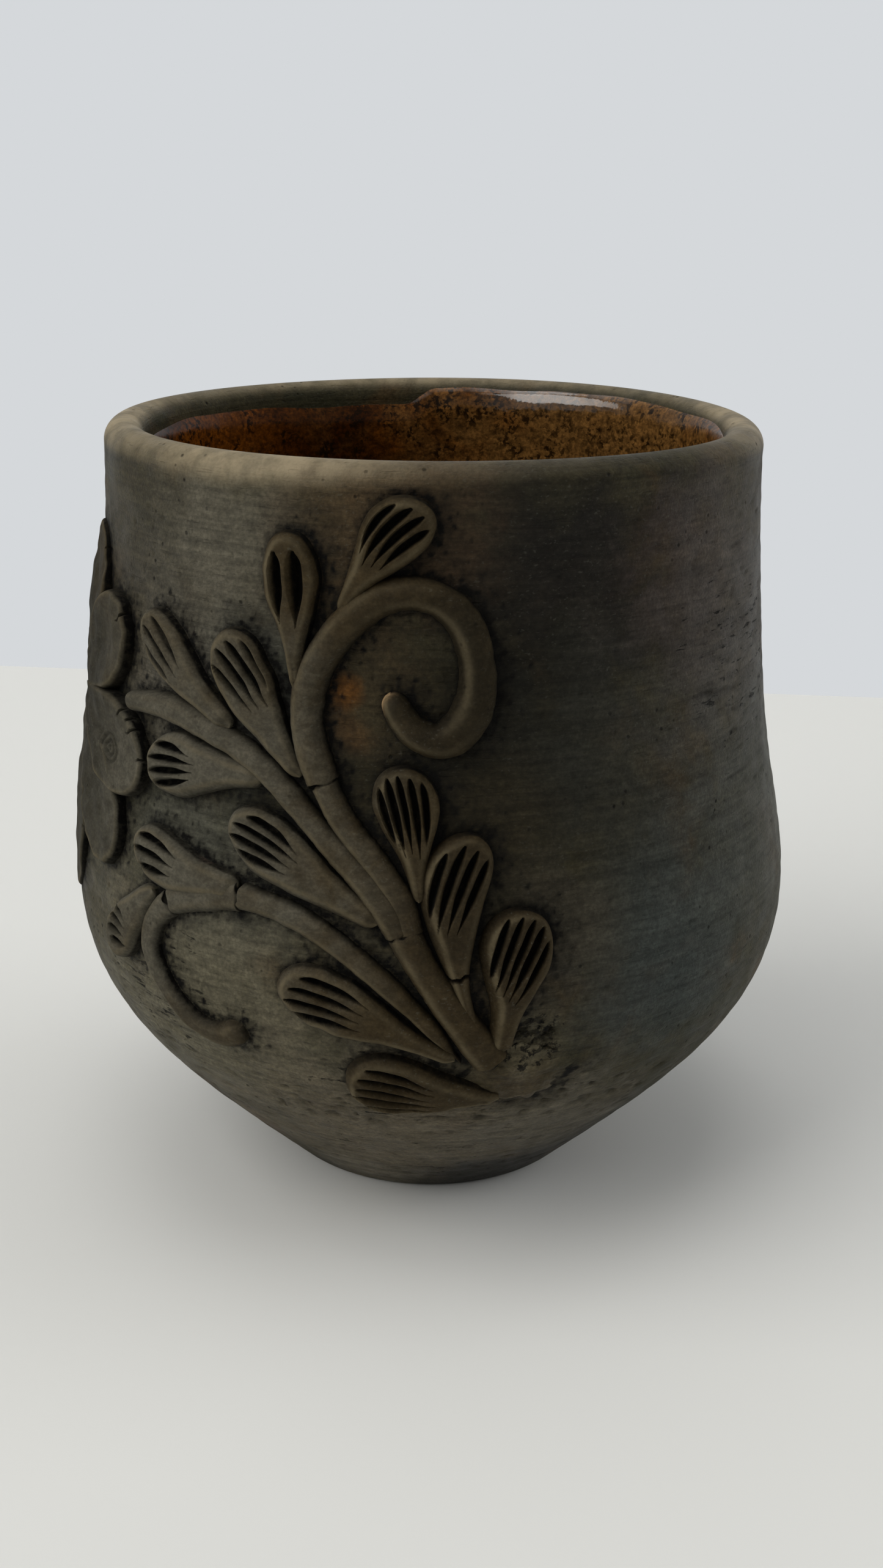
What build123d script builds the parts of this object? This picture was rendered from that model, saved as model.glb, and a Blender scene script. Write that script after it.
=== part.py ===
from build123d import *
import math
import os
from dataclasses import dataclass

os.makedirs("parts", exist_ok=True)

# A wheel-thrown cup of smoke-fired clay, glazed inside, with a vine, leaves and a flower
# applied to its outside as separate pieces of clay.
# Millimetres, Z up. The origin is the middle of the foot's flat face, and the vine faces -Y.

# Outer outline of the body: radii from the foot up, and the rise from each one to the next
foot_radius = 20.5
flank_radius = 32.5
hip_radius = 43.1
belly_radius = 46.8
chest_radius = 44.3
neck_radius = 42.0
rim_radius = 41.0
flank_rise = 12.0
hip_rise = 13.0
belly_rise = 11.0
chest_rise = 21.0
neck_rise = 20.0
rim_rise = 19.0

# Clay and glaze thicknesses
wall = 5.0
floor_thickness = 6.0
foot_edge_round = 1.0
floor_round = 6.0
glaze_thickness = 0.6
glaze_line_drop = 4.0
glaze_line_tilt = 1.5

# How far each kind of applied piece stands out of the body
leaf_relief = 1.8
stem_relief = 2.2
petal_relief = 1.8
pad_relief = 0.9

# Leaves: the narrow end at the stem, and the pressed grooves
leaf_tail_width = 1.6
groove_width = 0.9
groove_depth = 1.1

# Stems and scrolls, rolled by hand: widths at the thick and the thin end
trunk_width = 4.0
trunk_foot_width = 5.0
branch_width = 3.4
branch_tip_width = 3.0
scroll_width = 3.8
scroll_tip_width = 2.6
low_scroll_width = 2.8
low_scroll_tip_width = 2.4

# Flower: its middle on the body, as an azimuth and a share of the height, and its petals' widths
flower_azimuth = -76.0
flower_share = 0.672
petal_width = 11.5
petal_tail_width = 4.0
petal_inner_gap = 1.2

# The smear of slip that holds the foot of the vine
pad_azimuth = 13.0
pad_share = 0.302
pad_length = 12.0
pad_width = 9.0

# Heights of the outline's points, and of the rim's crest
flank_height = flank_rise
hip_height = flank_height + hip_rise
belly_height = hip_height + belly_rise
chest_height = belly_height + chest_rise
neck_height = chest_height + neck_rise
rim_height = neck_height + rim_rise
height = rim_height + wall / 2

OUTLINE = [
    (foot_radius, 0.0),
    (flank_radius, flank_height),
    (hip_radius, hip_height),
    (belly_radius, belly_height),
    (chest_radius, chest_height),
    (neck_radius, neck_height),
    (rim_radius, rim_height),
]
FOOT_TANGENT = (flank_radius - foot_radius, 0.0, flank_rise)
RIM_TANGENT = (0.0, 0.0, rim_rise)

# A flat outline is pressed through the wall this far each way, well past the body's curve
PRESS_REACH = belly_radius / 4

# Grooves of a leaf, as shares of its length and width
GROOVE_FROM = 0.46
GROOVE_TO = 0.92
GROOVE_SHORTENING = 0.10
GROOVE_SPREAD_FROM = 0.34
GROOVE_SPREAD_TO = 0.72


@dataclass(frozen=True)
class DropShape:
    """Where a leaf or petal is narrow and where it is widest, as shares of its size."""

    waist_at: float
    waist_share: float
    shoulder_at: float


@dataclass(frozen=True)
class Leaf:
    """A grooved leaf, from its tail at the stem to its round head.

    A place is an azimuth in degrees, 0 at the front and positive to the right,
    and a share of the cup's height.
    """

    name: str
    tail: tuple
    head: tuple
    width: float
    grooves: int
    bow: float = 0.0


@dataclass(frozen=True)
class Stem:
    """A rolled strip of clay along a line of places, from its first to its last width."""

    name: str
    places: tuple
    first_width: float
    last_width: float


@dataclass(frozen=True)
class Petal:
    """A petal of the flower: the side it points to, 0 up and 90 right, and its length."""

    name: str
    heading: float
    length: float


LEAF_SHAPE = DropShape(waist_at=0.36, waist_share=0.50, shoulder_at=0.72)
PETAL_SHAPE = DropShape(waist_at=0.30, waist_share=0.70, shoulder_at=0.64)

STEMS = [
    Stem("trunk_stem", ((-3.8, 0.484), (-0.4, 0.440), (3.3, 0.388), (7.0, 0.326)),
         trunk_width, trunk_foot_width),
    Stem("flower_stem", ((-55.0, 0.692), (-44.0, 0.702), (-36.0, 0.692), (-25.0, 0.662),
                         (-17.0, 0.607), (-8.8, 0.527), (-5.8, 0.488)),
         branch_tip_width, branch_width),
    Stem("scroll_stalk", ((-15.4, 0.645), (-9.4, 0.582), (-5.0, 0.537), (-1.6, 0.490)),
         branch_width, branch_width),
    Stem("upper_scroll", ((-15.7, 0.650), (-18.4, 0.713), (-17.7, 0.768), (-13.2, 0.824),
                          (-7.6, 0.858), (-1.7, 0.864), (3.5, 0.843), (6.4, 0.787),
                          (5.2, 0.728), (1.5, 0.704), (-2.5, 0.713), (-6.1, 0.756)),
         scroll_width, scroll_tip_width),
    Stem("lower_stem", ((-27.4, 0.508), (-17.3, 0.489), (-8.6, 0.442), (-0.3, 0.381),
                        (5.0, 0.328)),
         branch_tip_width, branch_width),
    Stem("lower_stem_end", ((-27.9, 0.507), (-33.0, 0.500), (-39.6, 0.481)),
         branch_tip_width, branch_tip_width),
    Stem("lower_scroll", ((-40.6, 0.474), (-44.0, 0.440), (-44.2, 0.410), (-42.0, 0.378),
                          (-38.3, 0.346), (-33.2, 0.327), (-29.6, 0.331), (-28.0, 0.346)),
         low_scroll_width, low_scroll_tip_width),
]

LEAVES = [
    Leaf("leaf_top_right", (-13.0, 0.846), (-1.0, 0.962), 6.8, 4, 0.8),
    Leaf("leaf_top_left", (-20.2, 0.757), (-22.0, 0.926), 7.0, 2),
    Leaf("leaf_left_middle", (-20.0, 0.664), (-33.2, 0.806), 7.8, 4, 0.4),
    Leaf("leaf_left_upper", (-32.0, 0.706), (-50.4, 0.804), 6.6, 4, 0.4),
    Leaf("leaf_under_stem", (-27.4, 0.646), (-48.0, 0.630), 7.2, 4, -0.5),
    Leaf("leaf_centre_left", (-8.5, 0.492), (-30.5, 0.596), 7.4, 4, 0.5),
    Leaf("leaf_lower_left", (-29.0, 0.520), (-49.2, 0.536), 6.6, 3, 0.8),
    Leaf("leaf_far_left", (-44.6, 0.480), (-53.0, 0.386), 6.0, 4, -0.5),
    Leaf("leaf_right_first", (-1.2, 0.516), (-4.5, 0.672), 7.0, 5),
    Leaf("leaf_right_second", (3.4, 0.432), (5.4, 0.598), 7.9, 4),
    Leaf("leaf_right_third", (9.6, 0.340), (12.8, 0.512), 8.2, 5),
    Leaf("leaf_low_first", (0.8, 0.352), (-21.3, 0.421), 7.8, 4, 0.6),
    Leaf("leaf_low_second", (9.0, 0.276), (-12.4, 0.300), 9.0, 5),
]

# The first petal lies on top of those after it
PETALS = [
    Petal("petal_front", 106.0, 21.0),
    Petal("petal_front_upper", 44.0, 18.5),
    Petal("petal_front_lower", 141.0, 22.5),
    Petal("petal_top", 0.0, 20.0),
    Petal("petal_bottom", 184.0, 25.0),
    Petal("petal_back_upper", 316.0, 19.5),
    Petal("petal_back_lower", 232.0, 22.0),
    Petal("petal_back", 274.0, 21.0),
]

CLAY_LINE = Spline(
    *[(radius, 0.0, rise) for radius, rise in OUTLINE],
    tangents=[FOOT_TANGENT, RIM_TANGENT],
)


def meridian(rise):
    """Radius of the clay at a height, and the direction of the outline there, as (r, z)."""
    low, high = 0.0, 1.0
    for _ in range(40):
        middle = (low + high) / 2
        if (CLAY_LINE @ middle).Z < rise:
            low = middle
        else:
            high = middle
    tangent = CLAY_LINE % low
    return (CLAY_LINE @ low).X, (tangent.X, tangent.Z)


def offset_point(radius, rise, distance):
    """A point of the outline set out from the clay along its normal."""
    _, (along_r, along_z) = meridian(rise)
    return (radius + along_z * distance, 0.0, rise - along_r * distance)


def turned_solid(distance):
    """The body's outer form, set out by a distance, turned as one full solid."""
    points = [offset_point(radius, rise, distance) for radius, rise in OUTLINE]
    line = Spline(*points, tangents=[FOOT_TANGENT, RIM_TANGENT])
    first, last = points[0], points[-1]
    sides = [
        Line((0.0, 0.0, first[2]), first),
        line,
        Line(last, (0.0, 0.0, last[2])),
        Line((0.0, 0.0, last[2]), (0.0, 0.0, first[2])),
    ]
    return revolve(make_face(sides), Axis.Z)


def place_frame(azimuth, rise):
    """Plane on the clay at a place: X to the right, Y up the wall, Z out of the clay."""
    radius, (along_r, along_z) = meridian(rise)
    sine = math.sin(math.radians(azimuth))
    cosine = math.cos(math.radians(azimuth))
    origin = (radius * sine, -radius * cosine, rise)
    normal = (along_z * sine, -along_z * cosine, -along_r)
    return Plane(origin=origin, x_dir=(cosine, sine, 0.0), z_dir=normal)


def frame_towards(frame, direction):
    """The same plane, turned so that its X runs along a direction as near as it can."""
    flat = direction - frame.z_dir * direction.dot(frame.z_dir)
    return Plane(origin=frame.origin, x_dir=flat, z_dir=frame.z_dir)


def clay_point(place):
    """Point of the clay at an azimuth and a share of the height."""
    azimuth, share = place
    return place_frame(azimuth, share * height).origin


def middle_frame(places):
    """Plane on the clay at the middle of some places."""
    azimuths = [azimuth for azimuth, _ in places]
    shares = [share for _, share in places]
    azimuth = (min(azimuths) + max(azimuths)) / 2
    share = (min(shares) + max(shares)) / 2
    return place_frame(azimuth, share * height)


def lane_point(length, share, side, bow):
    """Point at a share of a leaf's length, to one side of its bowed middle line."""
    return Vector(length * (share - 0.5), side + 4 * bow * share * (1 - share))


def drop_face(length, width, tail_width, shape, bow=0.0):
    """Outline of a leaf or petal along X, narrow at its tail and round at its head."""
    across_at = [
        (0.0, tail_width),
        (shape.waist_at, width * shape.waist_share),
        (shape.shoulder_at, width),
        (1.0, 0.0),
    ]
    sides = []
    for sign in (1.0, -1.0):
        points = [lane_point(length, share, sign * across / 2, bow) for share, across in across_at]
        sides.append(Spline(*points, tangents=[(1.0, 0.0), (0.0, -sign)]))
    tail = Line(sides[0] @ 0, sides[1] @ 0)
    return make_face([*sides, tail])


def groove_faces(leaf, length):
    """Lens outlines of a leaf's grooves, which fan out from its waist to its head."""
    faces = []
    for index in range(leaf.grooves):
        lane = (2 * index + 1) / leaf.grooves - 1
        end = GROOVE_TO - GROOVE_SHORTENING * lane * lane
        near = lane_point(length, GROOVE_FROM, lane * leaf.width * GROOVE_SPREAD_FROM / 2, leaf.bow)
        far = lane_point(length, end, lane * leaf.width * GROOVE_SPREAD_TO / 2, leaf.bow)
        along = (far - near).normalized()
        across = Vector(-along.Y, along.X) * (groove_width / 2)
        middle = (near + far) / 2
        faces.append(make_face([
            ThreePointArc(near, middle + across, far),
            ThreePointArc(far, middle - across, near),
        ]))
    return Sketch() + faces


def strip_face(points, first_width, last_width):
    """Outline of a strip of clay that follows points and changes its width evenly."""
    last = len(points) - 1
    left, right = [], []
    for index, point in enumerate(points):
        along = (points[min(index + 1, last)] - points[max(index - 1, 0)]).normalized()
        half = (first_width + (last_width - first_width) * index / last) / 2
        across = Vector(-along.Y, along.X) * half
        left.append(point + across)
        right.append(point - across)
    return make_face([
        Spline(*left),
        Line(left[-1], right[-1]),
        Spline(*right),
        Line(right[0], left[0]),
    ])


def pressed(frame, face):
    """A flat outline as a prism square to a plane on the clay, through the wall and out."""
    return extrude(frame.offset(-PRESS_REACH) * face, 2 * PRESS_REACH)


def largest(shape):
    """The main solid of a trimmed piece."""
    return shape.solids().sort_by(SortBy.VOLUME)[-1]


class Relief:
    """Applied pieces in the order they are laid on, each trimmed by those before it."""

    def __init__(self):
        clay = turned_solid(0.0)
        self.leaf_layer = turned_solid(leaf_relief) - clay
        self.stem_layer = turned_solid(stem_relief) - clay
        self.petal_layer = turned_solid(petal_relief) - clay
        self.pad_layer = turned_solid(pad_relief) - clay
        groove_floor = turned_solid(leaf_relief - groove_depth)
        self.groove_layer = turned_solid(leaf_relief + groove_depth) - groove_floor
        self.prisms = []
        self.pieces = {}

    def lay(self, name, frame, face, layer, grooves=None):
        """Press a flat outline onto the body as a layer of clay, and keep it as a piece."""
        prism = pressed(frame, face)
        piece = prism & layer
        box = piece.bounding_box()
        cuts = [other for other_box, other in self.prisms if box.overlaps(other_box)]
        if grooves:
            cuts.append(pressed(frame, grooves) & self.groove_layer)
        if cuts:
            piece = piece - cuts
        self.prisms.append((box, prism))
        self.pieces[name] = largest(piece)

    def lay_stem(self, stem):
        """Lay a rolled stem or scroll along its places."""
        frame = middle_frame(stem.places)
        points = []
        for place in stem.places:
            local = frame.to_local_coords(clay_point(place))
            points.append(Vector(local.X, local.Y))
        face = strip_face(points, stem.first_width, stem.last_width)
        self.lay(stem.name, frame, face, self.stem_layer)

    def lay_leaf(self, leaf):
        """Lay a leaf from its tail to its head, with its grooves."""
        run = clay_point(leaf.head) - clay_point(leaf.tail)
        frame = frame_towards(middle_frame([leaf.tail, leaf.head]), run)
        face = drop_face(run.length, leaf.width, leaf_tail_width, LEAF_SHAPE, leaf.bow)
        self.lay(leaf.name, frame, face, self.leaf_layer, groove_faces(leaf, run.length))

    def lay_petal(self, petal):
        """Lay a petal that points away from the flower's middle."""
        middle = place_frame(flower_azimuth, flower_share * height)
        turn = math.radians(petal.heading)
        away = middle.x_dir * math.sin(turn) + middle.y_dir * math.cos(turn)
        spot = middle.origin + away * (petal_inner_gap + petal.length / 2)
        azimuth = math.degrees(math.atan2(spot.X, -spot.Y))
        frame = frame_towards(place_frame(azimuth, spot.Z), away)
        face = drop_face(petal.length, petal_width, petal_tail_width, PETAL_SHAPE)
        self.lay(petal.name, frame, face, self.petal_layer)

    def lay_pad(self):
        """Lay the smear of slip under the foot of the vine."""
        frame = place_frame(pad_azimuth, pad_share * height)
        face = Ellipse(pad_length / 2, pad_width / 2).face()
        self.lay("slip_pad", frame, face, self.pad_layer)


def hollow(distance, floor, corner):
    """The hollow of the cup: its wall set in from the outer clay, its flat floor, a round corner."""
    slope = math.hypot(FOOT_TANGENT[0], FOOT_TANGENT[2])
    start_rise = max(floor - distance * FOOT_TANGENT[0] / slope, 0.0)
    start = offset_point(meridian(start_rise)[0], start_rise, -distance)
    points = [(start[0], 0.0, floor)]
    points += [offset_point(radius, rise, -distance) for radius, rise in OUTLINE[1:]]
    line = Spline(*points, tangents=[FOOT_TANGENT, RIM_TANGENT])
    top = points[-1][2]
    sides = [
        Line((0.0, 0.0, floor), points[0]),
        line,
        Line(points[-1], (0.0, 0.0, top)),
        Line((0.0, 0.0, top), (0.0, 0.0, floor)),
    ]
    solid = revolve(make_face(sides), Axis.Z)
    floor_edge = solid.edges().filter_by(GeomType.CIRCLE).sort_by(Axis.Z)[0]
    return fillet(floor_edge, corner)


def cup_body():
    """The thrown body: flat foot, cone, belly, drawn-in neck and a round lip."""
    outer = (rim_radius, 0.0, rim_height)
    inner = (rim_radius - wall, 0.0, rim_height)
    crest = (rim_radius - wall / 2, 0.0, height)
    sides = [
        Line((0.0, 0.0, 0.0), (foot_radius, 0.0, 0.0)),
        CLAY_LINE,
        ThreePointArc(outer, crest, inner),
        Line(inner, (0.0, 0.0, rim_height)),
        Line((0.0, 0.0, rim_height), (0.0, 0.0, 0.0)),
    ]
    filled = revolve(make_face(sides), Axis.Z)
    foot_edge = filled.edges().filter_by(GeomType.CIRCLE).sort_by(Axis.Z)[0]
    filled = fillet(foot_edge, foot_edge_round)
    return largest(filled - hollow(wall, floor_thickness, floor_round))


def glaze_lining():
    """The skin of glaze inside, up to its slanting line below the lip."""
    skin = hollow(wall, floor_thickness, floor_round) - hollow(
        wall + glaze_thickness, floor_thickness + glaze_thickness, floor_round - glaze_thickness)
    tilt = math.radians(glaze_line_tilt)
    level = (0.0, 0.0, height - glaze_line_drop)
    line = Plane(origin=level, z_dir=(-math.sin(tilt), 0.0, math.cos(tilt)))
    return largest(split(skin, line, keep=Keep.BOTTOM))


def vine():
    """Every applied piece, by name: stems first, then the flower, the leaves and the slip."""
    relief = Relief()
    for stem in STEMS:
        relief.lay_stem(stem)
    for petal in PETALS:
        relief.lay_petal(petal)
    for leaf in LEAVES:
        relief.lay_leaf(leaf)
    relief.lay_pad()
    return relief.pieces


export_step(cup_body(), "parts/cup_body.step")
export_step(glaze_lining(), "parts/glaze_lining.step")
for piece_name, piece_solid in vine().items():
    export_step(piece_solid, f"parts/{piece_name}.step")
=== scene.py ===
"""The smoke-fired vine cup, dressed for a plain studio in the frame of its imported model.

Lengths inside the classes are millimetres, turns are radians with 0 at the front and
positive to the right, and meshes are written in metres.
"""

import logging
import math
from dataclasses import dataclass, field
from enum import Enum

import bmesh
import bpy
import numpy as np
from bpy.types import Material, Node, NodeSocket, NodeTree, bpy_prop_collection
from mathutils import Matrix, Vector
from mathutils.kdtree import KDTree


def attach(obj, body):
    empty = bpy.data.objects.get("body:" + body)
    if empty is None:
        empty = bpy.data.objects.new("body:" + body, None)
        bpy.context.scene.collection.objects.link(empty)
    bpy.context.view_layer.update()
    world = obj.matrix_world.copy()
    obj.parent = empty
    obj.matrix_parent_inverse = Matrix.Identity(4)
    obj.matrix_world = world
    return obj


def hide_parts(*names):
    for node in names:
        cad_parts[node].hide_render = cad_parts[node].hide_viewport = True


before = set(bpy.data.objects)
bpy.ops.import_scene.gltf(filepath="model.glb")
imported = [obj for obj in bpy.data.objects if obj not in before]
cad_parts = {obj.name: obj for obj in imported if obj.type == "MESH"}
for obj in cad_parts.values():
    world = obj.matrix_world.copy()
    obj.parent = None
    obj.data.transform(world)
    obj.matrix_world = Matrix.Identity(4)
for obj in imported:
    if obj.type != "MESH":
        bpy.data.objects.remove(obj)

LOG = logging.getLogger("vine_cup")
MM = 0.001
FULL_TURN = 2.0 * math.pi
Array = np.ndarray
Colour = tuple[float, float, float, float]
Place = tuple[float, float]
Triple = tuple[float, float, float]

# Points closer than this, in metres, are one point
WELD = 2e-6

# On the flat layout, edges that face this way, right and up, were left standing and the others smeared; soot
# and painted shadow are darkest on this side
PROUD_SIDE = np.array([0.92, 0.39])

# Share of the soot and painted shadow that a fully smeared edge holds
SMEARED_SOOT_AND_SHADOW = 0.08


class Slot(Enum):
    """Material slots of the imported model."""

    BODY = "body_clay"
    VINE = "vine_clay"
    GLAZE = "inner_glaze"


class End(Enum):
    """Ways a strip of clay ends."""

    CRACK = "crack"
    ROUND = "round"
    TAPER = "taper"


class Shade(Enum):
    """Values kept on vertices for the finishes."""

    # Soot, with painted shade in gaps, grooves and round the sprigs
    SOOT_AND_SHADE = "soot"
    # Wear on raised clay, with painted highlight on lit rims and lip sides
    HIGH = "high"


class Socket(Enum):
    """Kinds of sockets on the shared node groups."""

    VALUE = "NodeSocketFloat"
    COLOUR = "NodeSocketColor"
    VECTOR = "NodeSocketVector"


def paint(red: float, green: float, blue: float) -> Colour:
    """Turns a colour as seen on a screen into the linear colour of a socket.

    Args:
        red: Red part, 0 to 255.
        green: Green part, 0 to 255.
        blue: Blue part, 0 to 255.

    Returns:
        The linear colour with full alpha.
    """
    shares = [part / 255.0 for part in (red, green, blue)]
    linear = [s / 12.92 if s <= 0.04045 else ((s + 0.055) / 1.055) ** 2.4 for s in shares]
    return linear[0], linear[1], linear[2], 1.0


def ease(low: float, high: float, value: Array) -> Array:
    """Rises smoothly from 0 at a low value to 1 at a high one."""
    share = np.clip((value - low) / (high - low), 0.0, 1.0)
    return share * share * (3.0 - 2.0 * share)


def bell(gap: Array, width: float) -> Array:
    """Falls smoothly from 1 at no gap to almost 0 at twice a width."""
    return np.exp(-(gap / width) ** 2)


def quarter_round(share: Array) -> Array:
    """Height of a quarter circle at shares of the way to its top."""
    return np.sqrt(np.clip(1.0 - (1.0 - share) ** 2, 0.0, 1.0))


def run_along(points: Array) -> Array:
    """Length of a line of points from the first to each of them."""
    return np.concatenate([[0.0], np.cumsum(np.hypot(*np.diff(points, axis=0).T))])


def bend_line(first: Array, knee: Array, last: Array, shares: Array) -> Array:
    """Draws shares of a line that leaves one point towards a knee and bends on to the last point."""
    t = shares[:, None]
    return (1 - t) ** 2 * first + 2 * t * (1 - t) * knee + t ** 2 * last


def turned(radius: Array, turn: Array, rise: Array) -> Array:
    """Points at radii, turns and heights, with the three parts in the last axis."""
    return np.stack([radius * np.sin(turn), -radius * np.cos(turn), rise], axis=-1)


def soot_and_shadow_share(proud: Array) -> Array:
    """Share of soot and painted shadow that an edge holds, from smeared to proud."""
    return SMEARED_SOOT_AND_SHADOW + (1.0 - SMEARED_SOOT_AND_SHADOW) * proud


class Ripple:
    """Smooth seeded unevenness over two directions, about -1 to 1."""

    def __init__(self, seed: int, reach: tuple[float, float], waves: int = 14) -> None:
        """Draws the waves.

        Args:
            seed: Seed of the draw.
            reach: Shortest and longest wave, in the unit of the places read.
            waves: Number of waves added up.
        """
        draw = np.random.default_rng(seed)
        length = np.exp(draw.uniform(np.log(reach[0]), np.log(reach[1]), waves))
        angle = draw.uniform(0.0, FULL_TURN, waves)
        self.first = FULL_TURN * np.cos(angle) / length
        self.second = FULL_TURN * np.sin(angle) / length
        self.phase = draw.uniform(0.0, FULL_TURN, waves)
        self.weight = np.sqrt(length) / np.sqrt(length.sum() / 2.0)

    def at(self, first: Array, second: Array) -> Array:
        """Reads the unevenness.

        Args:
            first: Places along the first direction.
            second: Places along the second direction.

        Returns:
            The unevenness at each place.
        """
        total = np.zeros(np.broadcast(first, second).shape)
        for k1, k2, phase, weight in zip(self.first, self.second, self.phase, self.weight):
            total = total + weight * np.sin(k1 * first + k2 * second + phase)
        return total

    def along(self, way: Array, lane: float = 0.0) -> Array:
        """Reads the unevenness along one lane."""
        return self.at(way, np.full_like(way, lane))

    def round(self, turn: Array, radius: float = 2.0) -> Array:
        """Reads the unevenness round a circle, so that it closes on itself."""
        return self.at(np.cos(turn) * radius, np.sin(turn) * radius)


class Curve:
    """A smooth line through values at rising stations."""

    def __init__(self, stations: Array, values: Array, first: float | None = None,
                 last: float | None = None) -> None:
        """Solves the slopes of the line.

        Args:
            stations: Rising stations.
            values: Value at each station.
            first: Slope at the first station, free if left out.
            last: Slope at the last station, free if left out.
        """
        self.x = np.asarray(stations, float)
        self.y = np.asarray(values, float)
        count = len(self.x)
        step = np.diff(self.x)
        rise = np.diff(self.y) / step
        rows = np.zeros((count, count))
        sums = np.zeros(count)
        for i in range(1, count - 1):
            rows[i, i - 1:i + 2] = step[i], 2.0 * (step[i - 1] + step[i]), step[i - 1]
            sums[i] = 3.0 * (step[i] * rise[i - 1] + step[i - 1] * rise[i])
        rows[0, :2] = (2.0, 1.0) if first is None else (1.0, 0.0)
        sums[0] = 3.0 * rise[0] if first is None else first
        rows[-1, -2:] = (1.0, 2.0) if last is None else (0.0, 1.0)
        sums[-1] = 3.0 * rise[-1] if last is None else last
        self.tilt = np.linalg.solve(rows, sums)

    def _span(self, place: Array) -> tuple[Array, Array, Array]:
        """Finds the piece of line each place falls in.

        Args:
            place: Places along the stations.

        Returns:
            Index of the piece, its length, and the share of it passed.
        """
        index = np.clip(np.searchsorted(self.x, place) - 1, 0, len(self.x) - 2)
        length = self.x[index + 1] - self.x[index]
        return index, length, (place - self.x[index]) / length

    def at(self, place: Array) -> Array:
        """Reads the line.

        Args:
            place: Places along the stations.

        Returns:
            The value at each place.
        """
        i, length, t = self._span(np.asarray(place, float))
        start = (1 + 2 * t) * (1 - t) ** 2 * self.y[i] + t * (1 - t) ** 2 * length * self.tilt[i]
        end = t * t * (3 - 2 * t) * self.y[i + 1] + t * t * (t - 1) * length * self.tilt[i + 1]
        return start + end

    def slope(self, place: Array) -> Array:
        """Reads the slope of the line.

        Args:
            place: Places along the stations.

        Returns:
            The slope at each place.
        """
        i, length, t = self._span(np.asarray(place, float))
        swing = 6 * t * (1 - t) * (self.y[i + 1] - self.y[i]) / length
        start = (1 - t) * (1 - 3 * t) * self.tilt[i]
        return swing + start + t * (3 * t - 2) * self.tilt[i + 1]


@dataclass(frozen=True)
class Wave:
    """One wave in the unevenness of the thrown wall."""

    weight: float
    count: float
    pitch: float = 0.0
    phase: float = 0.0
    drift: float = 0.0
    drift_start: float = 0.4

    def at(self, turn: Array, rise: Array) -> Array:
        """Reads the wave at turns and heights, where rings drift up and down once round the cup."""
        wander = self.drift * np.sin(turn + self.drift_start)
        return self.weight * np.sin(self.count * turn + self.pitch * rise + self.phase + wander)


def add_up(waves: tuple[Wave, ...], turn: Array, rise: Array) -> Array:
    """Adds waves up at turns and heights."""
    return sum(wave.at(turn, rise) for wave in waves)


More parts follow.
